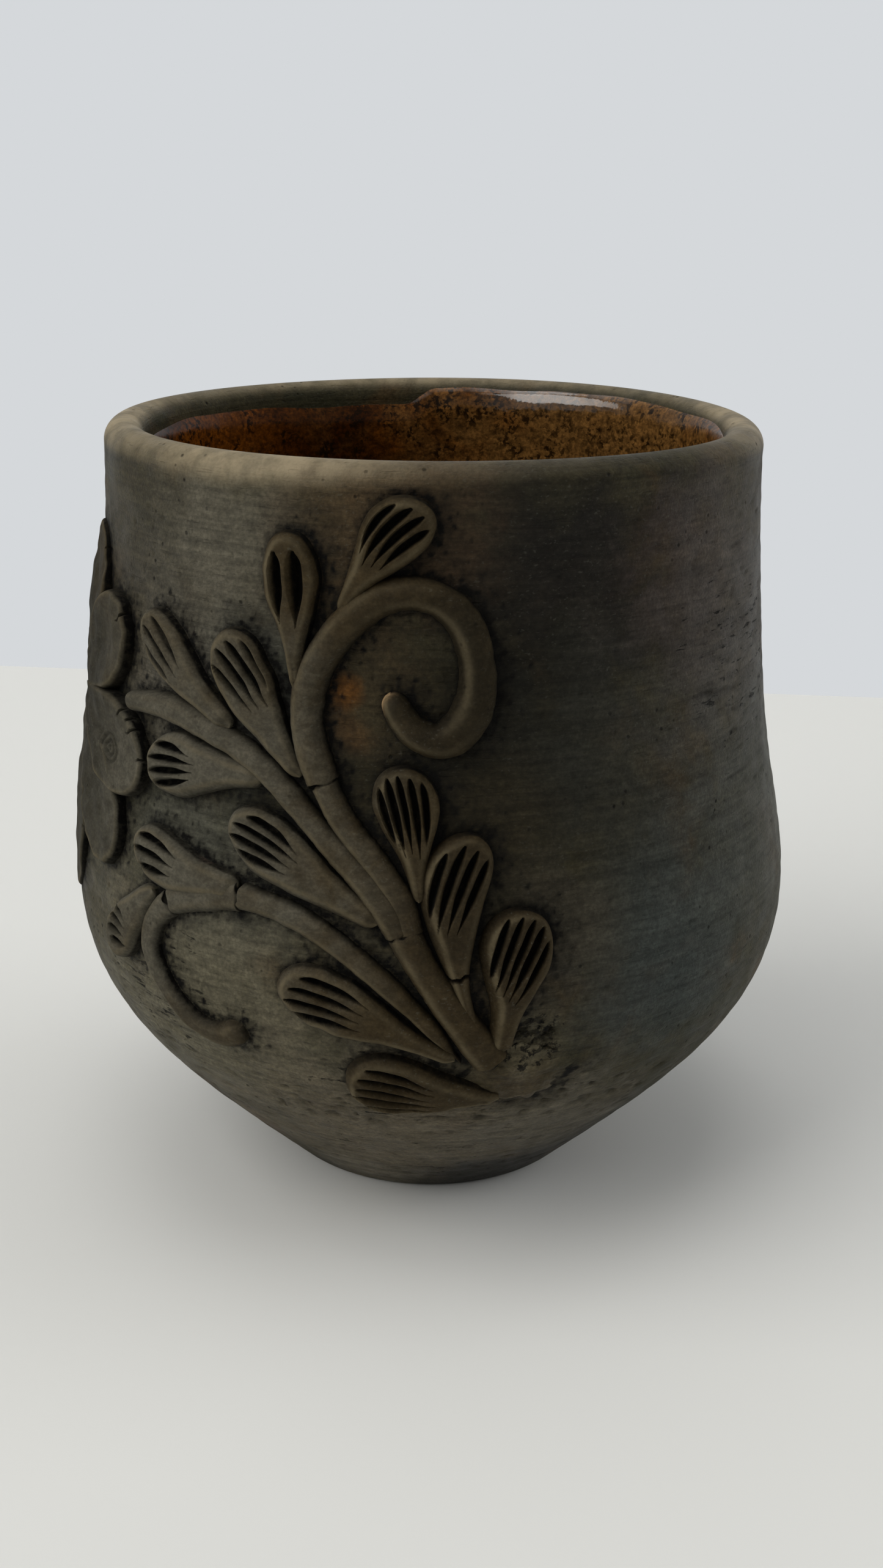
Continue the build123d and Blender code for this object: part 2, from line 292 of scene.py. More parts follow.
@dataclass
class CupForm:
    """The turned form of the cup with the unevenness of a hand at the wheel."""

    heights: tuple[float, ...] = (0.0, 12.0, 25.0, 36.0, 57.0, 77.0, 96.0)
    radii: tuple[float, ...] = (20.5, 32.5, 43.1, 46.8, 44.3, 42.0, 41.0)
    foot_slope: float = 1.0
    lip_slope: float = 0.0
    full_height: float = 98.5
    wall: float = 5.0
    floor: float = 6.0
    lip_height: float = 96.0
    true_below: float = 20.0
    lean: float = 0.20
    lean_from: tuple[float, float] = (0.0, 14.0)
    ring: float = 0.035
    ring_from: tuple[float, float] = (1.0, 8.0)
    slow_waves: tuple[Wave, ...] = (Wave(0.5, 2, 0.012, 0.8), Wave(0.3, 3, -0.02, 2.0), Wave(0.2, 5, 0.05))
    ring_waves: tuple[Wave, ...] = (Wave(0.5, 0, 1.9, 0.0, 0.9), Wave(0.3, 0, 3.1, 1.3, -0.9),
                                    Wave(0.4, 0, 0.83, 2.1, 0.45))
    samples: int = 1921
    outline: Curve = field(init=False)
    steps: Array = field(init=False)
    lengths: Array = field(init=False)

    def __post_init__(self) -> None:
        """Draws the outline and measures the way up it."""
        self.outline = Curve(self.heights, self.radii, self.foot_slope, self.lip_slope)
        self.steps = np.linspace(0.0, self.lip_height, self.samples)
        stretch = np.sqrt(1.0 + self.outline.slope(self.steps) ** 2)
        pieces = (stretch[1:] + stretch[:-1]) / 2.0 * np.diff(self.steps)
        self.lengths = np.concatenate([[0.0], np.cumsum(pieces)])

    def uneven(self, turn: Array, rise: Array) -> Array:
        """Measures how far out the thrown wall strays from its outline at turns and heights."""
        slow = self.lean * add_up(self.slow_waves, turn, rise) * ease(*self.lean_from, rise)
        return slow + self.ring * add_up(self.ring_waves, turn, rise) * ease(*self.ring_from, rise)

    def uneven_lip(self, turn: Array) -> Array:
        """Measures how far the lip strays from its circle."""
        return self.uneven(turn, np.full_like(turn, self.lip_height))

    def lip_share(self, rise: Array) -> Array:
        """Share of the lip's straying that the inside takes on at heights."""
        return ease(self.true_below, self.lip_height, rise)

    def place(self, turn: Array, rise: Array, lift: Array) -> Array:
        """Finds points on the outer wall.

        Args:
            turn: Turns round the cup.
            rise: Heights on the wall.
            lift: Distances out from the clay.

        Returns:
            Points, with the three parts in the last axis.
        """
        turn, rise, lift = np.broadcast_arrays(turn, rise, lift)
        tilt = self.outline.slope(rise)
        out = (lift + self.uneven(turn, rise)) / np.sqrt(1.0 + tilt * tilt)
        return turned(self.outline.at(rise) + out, turn, rise - out * tilt)

    def lip_arc(self, swing: Array) -> Array:
        """Draws the round of the lip.

        Args:
            swing: Angles over the lip, from 0 at the outside to half a turn at the inside.

        Returns:
            Radius and height of each point.
        """
        half = self.wall / 2.0
        middle = self.radii[-1] - half
        return np.stack([middle + half * np.cos(swing), self.lip_height + half * np.sin(swing)], axis=1)

    def way_up(self, rise: Array) -> Array:
        """Length of the outline from the foot up to heights."""
        return np.interp(rise, self.steps, self.lengths)

    def rise_at(self, length: Array) -> Array:
        """Heights that lie a length up the outline."""
        return np.interp(length, self.lengths, self.steps)

    def girth_at(self, length: Array) -> Array:
        """Radii that lie a length up the outline."""
        return self.outline.at(self.rise_at(length))

    def spot(self, place: Place) -> Place:
        """Turns an azimuth in degrees and a share of the height into a turn and a way up."""
        return math.radians(place[0]), float(self.way_up(place[1] * self.full_height))


def loft_faces(rows: int, columns: int, last_cap: bool) -> list[tuple[int, ...]]:
    """Joins rows of points, each running round in a ring, into a skin closed at the first row.

    Args:
        rows: Number of rows.
        columns: Points in each row.
        last_cap: Whether the last row is closed by a face too.

    Returns:
        The faces.
    """
    index = np.arange(rows * columns).reshape(rows, columns)
    following = np.roll(index, -1, axis=1)
    quads = np.stack([index[:-1], following[:-1], following[1:], index[1:]], axis=-1)
    faces = [tuple(quad) for quad in quads.reshape(-1, 4).tolist()]
    faces.append(tuple(reversed(index[0].tolist())))
    if last_cap:
        faces.append(tuple(index[-1].tolist()))
    return faces


@dataclass
class PieceMesh:
    """Rows of points, and vertex values, of one piece.

    Each row is a ring of points, and the rows are joined in their order.
    """

    grid: Array
    shades: dict[Shade, Array] = field(default_factory=dict)
    last_cap: bool = True
    crease: float = 50.0

    def write(self, node: str, slot: Slot, material: Material) -> None:
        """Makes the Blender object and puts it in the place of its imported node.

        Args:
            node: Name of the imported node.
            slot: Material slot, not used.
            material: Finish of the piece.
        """
        name = "vis_" + node
        points = (self.grid.reshape(-1, 3) * MM).tolist()
        mesh = bpy.data.meshes.new(name)
        mesh.from_pydata(points, [], loft_faces(*self.grid.shape[:2], self.last_cap))
        for shade, values in self.shades.items():
            layer = mesh.attributes.new(shade.value, "FLOAT", "POINT")
            layer.data.foreach_set("value", np.ascontiguousarray(values.ravel(), dtype=np.float32))
        work = bmesh.new()
        work.from_mesh(mesh)
        bmesh.ops.remove_doubles(work, verts=work.verts, dist=WELD)
        bmesh.ops.recalc_face_normals(work, faces=work.faces)
        work.to_mesh(mesh)
        work.free()
        mesh.polygons.foreach_set("use_smooth", [True] * len(mesh.polygons))
        mesh.set_sharp_from_angle(angle=math.radians(self.crease))
        mesh.materials.append(material)
        piece = bpy.data.objects.new(name, mesh)
        bpy.context.scene.collection.objects.link(piece)
        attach(piece, "root")
        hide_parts(node)
        LOG.info("%s: %d points, %d faces", node, len(mesh.vertices), len(mesh.polygons))


@dataclass
class Sprig:
    """A piece of clay pressed on the wall, laid out flat and wrapped round the cup."""

    name: str
    sunk: float = field(default=0.45, kw_only=True)
    edge: Array = field(init=False, repr=False)

    def wrap(self, form: CupForm, across: Array, along: Array, lift: Array, girth: float) -> Array:
        """Wraps flat places, drawn for a girth, round the cup at heights above its clay."""
        return form.place(across / girth, form.rise_at(along), lift)


@dataclass
class Track:
    """The middle line of a strip on the flat layout, with one entry for each row."""

    girth: float
    stations: Array
    way: Array
    rest: Array
    middle: Array
    head: Array
    side: Array


@dataclass
class Stem(Sprig):
    """A rolled strip of clay along a line of places, flattened when it was pressed on."""

    places: tuple[Place, ...] = ()
    widths: tuple[float, ...] = ()
    relief: float = 1.9
    first_end: End = End.CRACK
    last_end: End = End.CRACK
    flat: float = 0.5
    seed: int = 1
    row_gap: float = 0.20
    fewest_rows: int = 24
    crowding: float = 0.12
    columns: int = 31
    width_sway: float = 0.030
    relief_sway: float = 0.04
    fray: float = 0.03
    dents: float = 0.04
    nick_reach: float = 0.20
    crack_reach: float = 0.22
    crack_jag: float = 0.14
    taper_reach: float = 5.0

    def _shorten(self, end: End, gap: Array, half: Array) -> tuple[Array, Array]:
        """Shapes one end of the strip.

        Args:
            end: How the strip ends.
            gap: Distance of each row from the end.
            half: Half width of each row.

        Returns:
            Share of the width and of the height that is left at each row.
        """
        if end is End.CRACK:
            nick = np.clip(1.0 - gap / self.nick_reach, 0.0, 1.0) ** 2
            return 1.0 - 0.02 * nick, 1.0 - 0.10 * nick
        if end is End.ROUND:
            left = quarter_round(np.clip(gap / half, 0.0, 1.0))
            return np.maximum(left, 0.06), np.maximum(left, 0.02) ** 0.8
        fall = ease(0.0, self.taper_reach, gap)
        return 0.30 + 0.70 * fall, 0.35 + 0.65 * fall

    def _track(self, form: CupForm) -> Track:
        """Draws the middle line, with rows a little closer together at its ends.

        Args:
            form: Form of the cup.

        Returns:
            The line.
        """
        spots = np.array([form.spot(place) for place in self.places])
        girth = float(form.girth_at(spots[:, 1]).mean())
        flat = np.stack([spots[:, 0] * girth, spots[:, 1]], axis=1)
        stations = run_along(flat)
        lines = [Curve(stations, flat[:, k]) for k in (0, 1)]
        full = stations[-1]
        count = max(int(full / self.row_gap), self.fewest_rows)
        crowded = full * (1.0 - np.cos(np.linspace(0.0, math.pi, count))) / 2.0
        way = crowded * self.crowding + np.linspace(0.0, full, count) * (1.0 - self.crowding)
        middle = np.stack([line.at(way) for line in lines], axis=1)
        head = np.stack([line.slope(way) for line in lines], axis=1)
        head /= np.linalg.norm(head, axis=1, keepdims=True)
        side = np.stack([-head[:, 1], head[:, 0]], axis=1)
        return Track(girth, stations, way, full - way, middle, head, side)

    def _section(self, side: Array) -> tuple[Array, Array, Array]:
        """Draws the section of every row, fuller where it stands proud or was pressed flat.

        Args:
            side: Direction to the left of each row.

        Returns:
            Reach of each column from -1 to 1, and its hump and how proud it stands in each row.
        """
        reach = -np.cos(np.linspace(0.0, math.pi, self.columns))
        proud = 0.5 + 0.5 * (side @ PROUD_SIDE)[:, None] * np.sign(reach)[None, :]
        fullness = 2.1 + 0.5 * proud + (0.5 + 1.5 * proud) * self.flat
        hump = np.clip(1.0 - np.abs(reach)[None, :] ** fullness, 0.0, 1.0) ** (0.62 - 0.12 * proud)
        foot = np.zeros((len(side), 1))
        reach = np.concatenate([[-1.0], reach, [1.0]])
        hump = np.concatenate([foot, hump, foot], axis=1)
        return reach, hump, np.concatenate([proud[:, :1], proud, proud[:, -1:]], axis=1)

    def _cracked(self, track: Track) -> Array:
        """Measures how close each row is to a cracked end.

        Args:
            track: The middle line.

        Returns:
            1 at a cracked end, falling to 0.
        """
        cracked = np.zeros_like(track.way)
        for end, gap in ((self.first_end, track.way), (self.last_end, track.rest)):
            if end is End.CRACK:
                cracked = np.maximum(cracked, np.clip(1.0 - gap / self.crack_reach, 0.0, 1.0))
        return cracked

    def build(self, form: CupForm) -> PieceMesh:
        """Rolls the strip out along its line.

        Args:
            form: Form of the cup.

        Returns:
            The mesh of the strip.
        """
        track = self._track(form)
        way = track.way
        wave = Ripple(self.seed, (3.0, 16.0))
        half = np.interp(way, track.stations, self.widths) / 2.0 * (1.0 + self.width_sway * wave.along(way))
        first_wide, first_tall = self._shorten(self.first_end, way, half)
        last_wide, last_tall = self._shorten(self.last_end, track.rest, half)
        half = half * first_wide * last_wide
        tall = self.relief * (1.0 + self.relief_sway * wave.along(way + 40.0)) * first_tall * last_tall
        reach, hump, proud = self._section(track.side)
        jag = Ripple(self.seed + 60, (0.5, 2.2))
        torn = np.where(reach[None, :] > 0.0, jag.along(way)[:, None], jag.along(way, 9.0)[:, None])
        offset = reach[None, :] * (half[:, None] + self.fray * torn * np.abs(reach)[None, :] ** 3)
        dent = Ripple(self.seed + 50, (2.4, 9.0)).at(way[:, None], offset * 1.4)
        lift = tall[:, None] * hump + self.dents * hump * dent
        lift[:, [0, -1]] = -self.sunk
        cracked = self._cracked(track)[:, None]
        shift = self.crack_jag * Ripple(self.seed + 90, (0.8, 3.0)).along(offset, 3.0) * cracked
        across = track.middle[:, :1] + track.side[:, :1] * offset + track.head[:, :1] * shift
        along = track.middle[:, 1:] + track.side[:, 1:] * offset + track.head[:, 1:] * shift
        points = self.wrap(form, across, along, lift, track.girth)
        self.edge = points[:, [1, -2]].reshape(-1, 3)
        # Dark at the foot of the side walls and at cracked ends, most on the proud side: soot and painted
        # shadow
        foot = np.clip(1.3 - lift, 0.0, 1.0) * soot_and_shadow_share(proud)
        soot = np.clip(np.maximum(foot, 0.8 * cracked ** 2), 0.0, 1.0)
        # Paler band along the smeared rim: painted highlight where light falls, with some wear
        painted_rim_highlight = bell(np.abs(reach)[None, :] - 0.55, 0.25) * (1.0 - proud)
        high = np.clip(0.35 * hump * tall[:, None] / self.relief + 0.5 * painted_rim_highlight, 0.0, 1.0)
        return PieceMesh(points, {Shade.SOOT_AND_SHADE: soot, Shade.HIGH: high})


@dataclass
class Paddle(Sprig):
    """A drop of clay with a narrow tail and a round head, pressed flat on the wall."""

    width: float = 7.0
    tail_width: float = 1.6
    waist_at: float = 0.36
    waist_share: float = 0.50
    shoulder_at: float = 0.72
    bow: float = 0.0
    relief: float = 1.7
    tail_low: float = 0.70
    dome: float = 0.42
    hard_edge: float = 0.80
    soft_edge: float = 1.60
    ragged: float = 0.0
    uneven: float = 0.02
    coarse: float = 0.05
    # Share of the height up the side walls that is painted dark, soot with painted shadow
    black: float = 0.66
    lifted: float = 0.0
    seed: int = 1
    flank_rows: int = 92
    cap_rows: int = 64
    bend_columns: int = 20
    top_columns: int = 40

    def ends(self, form: CupForm) -> tuple[Array, Array, float]:
        """Finds the tail and the head on the flat layout, and the girth it is drawn for."""
        raise NotImplementedError

    def carve(self, x: Array, y: Array, inside: Array, length: float) -> tuple[Array, Array]:
        """Cuts marks in the top, and gives their depth and the soot and painted shade that lie in them."""
        raise NotImplementedError

    def rim(self, length: float) -> tuple[Array, Array, Array]:
        """Draws one side of the outline from the tail to the tip.

        Args:
            length: Length of the paddle.

        Returns:
            Distance along and half width of each rim point, and where its row meets the middle.
        """
        shoulder = self.shoulder_at * length
        half = self.width / 2.0
        tail_half = self.tail_width / 2.0
        stations = (0.0, self.waist_at * length, shoulder)
        flank = Curve(stations, (tail_half, self.waist_share * half, half), None, 0.0)
        straight = shoulder * (np.linspace(0.0, 1.0, self.flank_rows) ** 1.15)
        fan = np.linspace(0.0, math.pi / 2.0, self.cap_rows)[1:]
        cap = length - shoulder
        blunt = np.maximum(quarter_round(np.clip(straight / tail_half, 0.0, 1.0)), 0.08)
        along = np.concatenate([straight, shoulder + cap * np.sin(fan)])
        wide = np.concatenate([flank.at(straight) * blunt, half * np.cos(fan) ** 0.92])
        core = np.concatenate([straight, shoulder + 0.55 * cap * np.sin(fan)])
        return along, wide, core

    def _half(self, sign: float, length: float, axis: Array) -> tuple[Array, Array, Array, Array]:
        """Lays out one half of the top in rows from the rim to the middle.

        Args:
            sign: 1 for the left half, -1 for the right one.
            length: Length of the paddle.
            axis: Direction of the paddle on the flat layout.

        Returns:
            Places along and across the paddle, distances in from the rim, the width of the soft rim,
            and how proud the rim stands.
        """
        rim_x, rim_y, mid_x = self.rim(length)
        share = rim_x / length
        sway = 1.0 + self.uneven * Ripple(self.seed, (2.5, 11.0)).along(rim_x, sign * 7.0)
        nicks = Ripple(self.seed + 70, (1.4, 6.0)).at(rim_x + rim_y, sign * rim_y)
        tear = self.ragged * nicks * ease(0.5, 0.8, share)
        edge_y = sign * rim_y * (sway + tear / self.width)
        edge_x = rim_x + tear * ease(0.8, 1.0, share) * np.sign(rim_x)
        reach = np.hypot(edge_x - mid_x, edge_y)
        out_x, out_y = (edge_x - mid_x) / reach, edge_y / reach
        out = np.stack([axis[0] * out_x - axis[1] * out_y, axis[1] * out_x + axis[0] * out_y], axis=1)
        proud = 0.5 + 0.5 * out @ PROUD_SIDE
        soft = np.minimum(self.soft_edge + (self.hard_edge - self.soft_edge) * proud, 0.72 * reach)
        bend = soft[:, None] * (1.0 - np.cos(np.linspace(0.0, math.pi / 2.0, self.bend_columns)))[None, :]
        inner = soft[:, None] + (reach - soft)[:, None] * np.linspace(0.0, 1.0, self.top_columns)[None, 1:]
        depth = np.concatenate([bend[:, :1], bend, inner], axis=1)
        edge = np.stack([edge_x, edge_y], axis=-1)[:, None, :]
        core = np.stack([mid_x, np.zeros_like(mid_x)], axis=-1)[:, None, :]
        flat = edge + (core - edge) * (depth / reach[:, None])[..., None]
        spread = np.ones_like(depth)
        return flat, depth, soft[:, None] * spread, proud[:, None] * spread

    def _heights(self, x: Array, y: Array, share: Array) -> Array:
        """Measures the height of the top before its rim is rounded.

        Args:
            x: Distances from the tail along the middle.
            y: Distances to the left of the middle.
            share: Shares of the length.

        Returns:
            The heights above the clay.
        """
        swell = self.dome * (1.0 - np.clip(2.0 * np.abs(y) / self.width, 0.0, 1.0) ** 2)
        tall = self.relief * (self.tail_low + (1.0 - self.tail_low) * ease(0.05, 0.5, share)) + swell
        tall = tall * (0.55 + 0.45 * ease(0.0, 1.6, x)) + self.lifted * ease(0.4, 1.0, share)
        return tall + self.coarse * Ripple(self.seed + 30, (2.0, 8.0)).at(x, y)

    def build(self, form: CupForm) -> PieceMesh:
        """Presses the paddle on the cup.

        Args:
            form: Form of the cup.

        Returns:
            The mesh of the paddle.
        """
        tail, head, girth = self.ends(form)
        length = float(np.hypot(*(head - tail)))
        axis = (head - tail) / length
        halves = [self._half(sign, length, axis) for sign in (1.0, -1.0)]
        flat, inside, soft, proud = (np.concatenate([a, b[:, -2::-1]], axis=1) for a, b in zip(*halves))
        x, y = flat[..., 0], flat[..., 1]
        share = x / length
        power = 2.4 - 0.9 * (1.0 - proud)
        wall = (1.0 - np.clip(1.0 - inside / soft, 0.0, 1.0) ** power) ** (1.0 / power)
        tall = self._heights(x, y, share)
        cut, ash = self.carve(x, y, inside, length)
        lift = tall * wall - cut * ease(0.15, 0.75, wall)
        lift[:, [0, -1]] = -self.sunk
        bowed = y + 4.0 * self.bow * share * (1.0 - share)
        across = tail[0] + axis[0] * x - axis[1] * bowed
        along = tail[1] + axis[1] * x + axis[0] * bowed
        points = self.wrap(form, across, along, lift, girth)
        self.edge = points[:, [1, -2]].reshape(-1, 3)
        # Dark at the foot of the side walls, most on the proud side: soot and painted shadow
        foot = np.clip(5.0 * (self.black - lift / tall), 0.0, 1.0) * (wall < 0.97) * soot_and_shadow_share(proud)
        soot = np.clip(np.maximum(foot, ash), 0.0, 1.0)
        # Paler crest along the rim, most on the smeared side: painted highlight where light falls, with some
        # wear
        crest = bell(inside - 0.75 * soft, 0.40) * (0.25 + 0.75 * (1.0 - proud))
        high = np.clip(0.35 * wall + 0.65 * crest, 0.0, 1.0) * (1.0 - ash)
        return PieceMesh(points, {Shade.SOOT_AND_SHADE: soot, Shade.HIGH: high}, last_cap=False)


def nearest_on(line: Array, x: Array, y: Array) -> tuple[Array, Array]:
    """Measures places against a line of points.

    Args:
        line: Points of the line.
        x: First part of each place.
        y: Second part of each place.

    Returns:
        Distance to the line, and the share of the line passed at the nearest point.
    """
    best = np.full(x.shape, np.inf)
    along = np.zeros_like(x)
    last = len(line) - 1
    for k in range(last):
        step = line[k + 1] - line[k]
        off_x, off_y = x - line[k, 0], y - line[k, 1]
        part = np.clip((off_x * step[0] + off_y * step[1]) / float(step @ step), 0.0, 1.0)
        gap = np.hypot(off_x - part * step[0], off_y - part * step[1])
        closer = gap < best
        best = np.where(closer, gap, best)
        along = np.where(closer, (k + part) / last, along)
    return best, along


@dataclass
class Leaf(Paddle):
    """A leaf with grooves that fan out over its head."""

    tail: Place = (0.0, 0.5)
    head: Place = (0.0, 0.6)
    grooves: int = 4
    near: float = 0.42
    far: float = 0.92
    shorten: float = 0.09
    spread_near: float = 0.48
    spread_far: float = 0.81
    groove_half: float = 0.52
    groove_deep: float = 1.50
    groove_bow: float = 0.06
    groove_points: int = 31
    sway: float = 0.0
    lean: float = 0.0
    offset: float = 0.0
    snap: float | None = None
    snap_deep: float = 0.7
    snap_soot: float = 0.9

    def ends(self, form: CupForm) -> tuple[Array, Array, float]:
        """Finds the two ends of the leaf on the flat layout.

        Args:
            form: Form of the cup.

        Returns:
            Tail, head and the radius the layout is drawn for.
        """
        spots = np.array([form.spot(self.tail), form.spot(self.head)])
        girth = float(form.girth_at(spots[:, 1].mean()))
        flat = np.stack([spots[:, 0] * girth, spots[:, 1]], axis=1)
        return flat[0], flat[1], girth

    def groove_line(self, lane: float, draw: np.random.Generator, length: float) -> Array:
        """Draws the middle of one groove from its thin end to the blunt one.

        Args:
            lane: Place of the groove across the leaf, -1 to 1.
            draw: Seeded draw.
            length: Length of the leaf.

        Returns:
            Points along and across the leaf.
        """
        near = self.near + draw.uniform(-0.03, 0.03)
        far = self.far - self.shorten * lane * lane + draw.uniform(-0.02, 0.01)
        start = np.array([near * length, lane * self.spread_near * self.width / 2.0])
        stop = np.array([far * length, lane * self.spread_far * self.width / 2.0])
        knee = (start + stop) / 2.0 + np.array([0.0, (self.groove_bow * lane + self.sway) * self.width])
        line = bend_line(start, knee, stop, np.linspace(0.0, 1.0, self.groove_points))
        angle = -math.radians(self.lean)
        pivot = np.array([(self.near + self.far) / 2.0 * length, 0.0])
        spin = np.array([[math.cos(angle), math.sin(angle)], [-math.sin(angle), math.cos(angle)]])
        return pivot + (line - pivot) @ spin + np.array([0.0, self.offset])

    def carve(self, x: Array, y: Array, inside: Array, length: float) -> tuple[Array, Array]:
        """Presses the grooves, each a lens that is deep at the head and fades to the tail.

        Args:
            x: Distances from the tail along the middle.
            y: Distances to the left of the middle.
            inside: Distances in from the rim.
            length: Length of the leaf.

        Returns:
            Depth of the grooves, and the soot and painted shade that lie in them.
        """
        draw = np.random.default_rng(self.seed + 200)
        depth = np.zeros_like(x)
        ash = np.zeros_like(x)
        blackest = min(1.0, self.groove_deep)
        for index in range(self.grooves):
            line = self.groove_line((2 * index + 1) / self.grooves - 1.0, draw, length)
            gap, along = nearest_on(line, x, y)
            blunt = np.sqrt(np.clip(1.0 - ease(0.72, 1.06, along) ** 2, 0.0, 1.0))
            lens = ease(-0.08, 0.55, along) * blunt
            half = self.groove_half * np.maximum(lens, 0.12) * draw.uniform(0.85, 1.12)
            fill = (1.0 - ease(0.15, 1.30, gap / half)) * ease(0.45, 1.15, inside)
            depth = np.maximum(depth, self.groove_deep * lens ** 0.7 * fill)
            ash = np.maximum(ash, ease(0.22, 0.66, fill) * ease(0.12, 0.50, lens) * blackest)
        if self.snap is not None:
            wave = 0.22 * np.sin(2.3 * y + self.seed) + 0.10 * np.sin(6.1 * y)
            crack = 1.0 - ease(0.08, 0.30, np.abs(x - self.snap * length - wave))
            depth = np.maximum(depth, self.snap_deep * crack)
            ash = np.maximum(ash, self.snap_soot * crack)
        return depth, ash


@dataclass
class Petal(Paddle):
    """A petal of the flower, a flat slab laid over its neighbours."""

    width: float = 11.5
    tail_width: float = 4.0
    waist_at: float = 0.30
    waist_share: float = 0.70
    shoulder_at: float = 0.56
    tail_low: float = 1.0
    dome: float = 0.0
    hard_edge: float = 0.45
    soft_edge: float = 0.70
    ragged: float = 0.11
    uneven: float = 0.012
    coarse: float = 0.06
    black: float = 0.84
    centre: Place = (-76.0, 0.672)
    heading: float = 0.0
    length: float = 20.0
    inner_gap: float = 1.2
    hollow: float = 0.55
    cracks: int = 0
    crack_deep: float = 0.8
    crack_soot: float = 0.85
    fan_at: float = 0.55
    print_at: Place | None = None
    print_deep: float = 0.24
    print_soot: float = 0.36
    print_gap: float = 1.0

    def ends(self, form: CupForm) -> tuple[Array, Array, float]:
        """Finds the two ends of the petal on the flat layout.

        Args:
            form: Form of the cup.

        Returns:
            Tail, head and the radius the layout is drawn for.
        """
        turn, up = form.spot(self.centre)
        girth = float(form.girth_at(up))
        away = np.array([math.sin(math.radians(self.heading)), math.cos(math.radians(self.heading))])
        middle = np.array([turn * girth, up])
        return middle + away * self.inner_gap, middle + away * (self.inner_gap + self.length), girth

    def carve(self, x: Array, y: Array, inside: Array, length: float) -> tuple[Array, Array]:
        """Presses the thumb hollow and its print, and opens short cracks round the head.

        Args:
            x: Distances from the tail along the middle.
            y: Distances to the left of the middle.
            inside: Distances in from the rim.
            length: Length of the petal.

        Returns:
            Depth of the marks, and the soot and painted shade that lie in them.
        """
        draw = np.random.default_rng(self.seed + 300)
        hollow_x = draw.uniform(0.5, 0.62) * length
        hollow_y = draw.uniform(-0.12, 0.12) * self.width
        depth = self.hollow * bell(x - hollow_x, 0.24 * length) * bell(y - hollow_y, 0.26 * self.width)
        ash = np.zeros_like(x)
        fan_x = x - self.fan_at * length
        far = ease(0.5, 0.7, x / length)
        for _ in range(self.cracks):
            angle = draw.uniform(-1.25, 1.25)
            long = draw.uniform(0.7, 2.2)
            gap = np.abs(np.arctan2(y, fan_x) - angle - 0.02 * np.sin(4.0 * inside)) * np.hypot(fan_x, y)
            half = 0.07 + 0.16 * np.clip(1.0 - inside / long, 0.0, 1.0)
            fill = (1.0 - ease(0.3, 1.0, gap / half)) * (1.0 - ease(0.5 * long, long, inside)) * far
            depth = np.maximum(depth, self.crack_deep * fill)
            ash = np.maximum(ash, self.crack_soot * fill)
        if self.print_at is not None:
            off_x, off_y = x - self.print_at[0] * length, y - self.print_at[1] * self.width
            ring = np.hypot(off_x, off_y * 1.25) + 0.15 * np.sin(3.0 * np.arctan2(off_y, off_x))
            lines = (0.5 + 0.5 * np.cos(FULL_TURN * ring / self.print_gap)) * (1.0 - ease(1.8, 3.2, ring))
            depth = depth + self.print_deep * lines
            ash = np.maximum(ash, self.print_soot * lines)
        return depth, ash


@dataclass
class SlipPad(Sprig):
    """The smear of slip that holds the foot of the vine."""

    place: Place = (13.0, 0.302)
    length: float = 12.0
    width: float = 9.0
    relief: float = 0.62
    seed: int = 5
    columns: int = 180
    rows: int = 40
    torn: float = 0.07
    rough: float = 0.07
    ridge: float = 0.10
    lump: float = 0.9
    hole: float = 0.5

    def build(self, form: CupForm) -> PieceMesh:
        """Smears the slip, thin at the right, with a rolled lower edge, a lump and a small hole.

        Args:
            form: Form of the cup.

        Returns:
            The mesh of the smear.
        """
        turn, up = form.spot(self.place)
        girth = float(form.girth_at(up))
        around = np.linspace(0.0, FULL_TURN, self.columns + 1)[:-1]
        share = np.concatenate([[1.0], np.linspace(1.0, 0.03, self.rows)])[:, None]
        reach = 1.0 + self.torn * Ripple(self.seed, (0.5, 2.4)).round(around)
        x = share * (reach * np.cos(around))[None, :] * self.length / 2.0
        y = share * (reach * np.sin(around))[None, :] * self.width / 2.0
        rough = Ripple(self.seed + 1, (1.2, 5.0)).at(x, y)
        low = ease(-0.2, 0.9, -np.sin(around))[None, :]
        rise = ease(0.0, 1.0, np.clip(1.0 - share, 0.0, 1.0) / (0.30 + 0.5 * (1.0 - low)))
        ridge = self.ridge * low * bell(share - 0.86, 0.07)
        lump = self.lump * rise * bell(x + 2.9, 2.2) * bell(y - 2.0, 1.8)
        hole = bell(x - 0.40 * self.length, 0.55) * bell(y + 0.12 * self.width, 0.40)
        lift = rise * (self.relief + self.rough * rough) + ridge + lump - self.hole * hole
        lift[0] = -self.sunk
        points = self.wrap(form, turn * girth + x, up + y, lift, girth)
        self.edge = points[1][np.sin(around) < -0.1]
        # Darker in the small hole and the low spots of the smear
        soot = np.clip(0.9 * hole + 0.12 * np.clip(-rough, 0.0, 1.0), 0.0, 1.0)
        high = np.clip(0.2 * rise + 1.5 * ridge, 0.0, 1.0)
        return PieceMesh(points, {Shade.SOOT_AND_SHADE: soot, Shade.HIGH: high})


@dataclass(frozen=True)
class PitZone:
    """A part of the wall where grit was dragged out and left small scars."""

    turns: tuple[float, float]
    rises: tuple[float, float]
    count: int
    length: tuple[float, float]
    deep: float
    seed: int
    lean: float = 0.08


@dataclass(frozen=True)
class LipRubAndLight:
    """A side of the lip that hands wore more, or less, than the rest, and that is painted lighter or darker
    as light falls on it.
    """

    azimuth: float
    spread: float
    weight: float


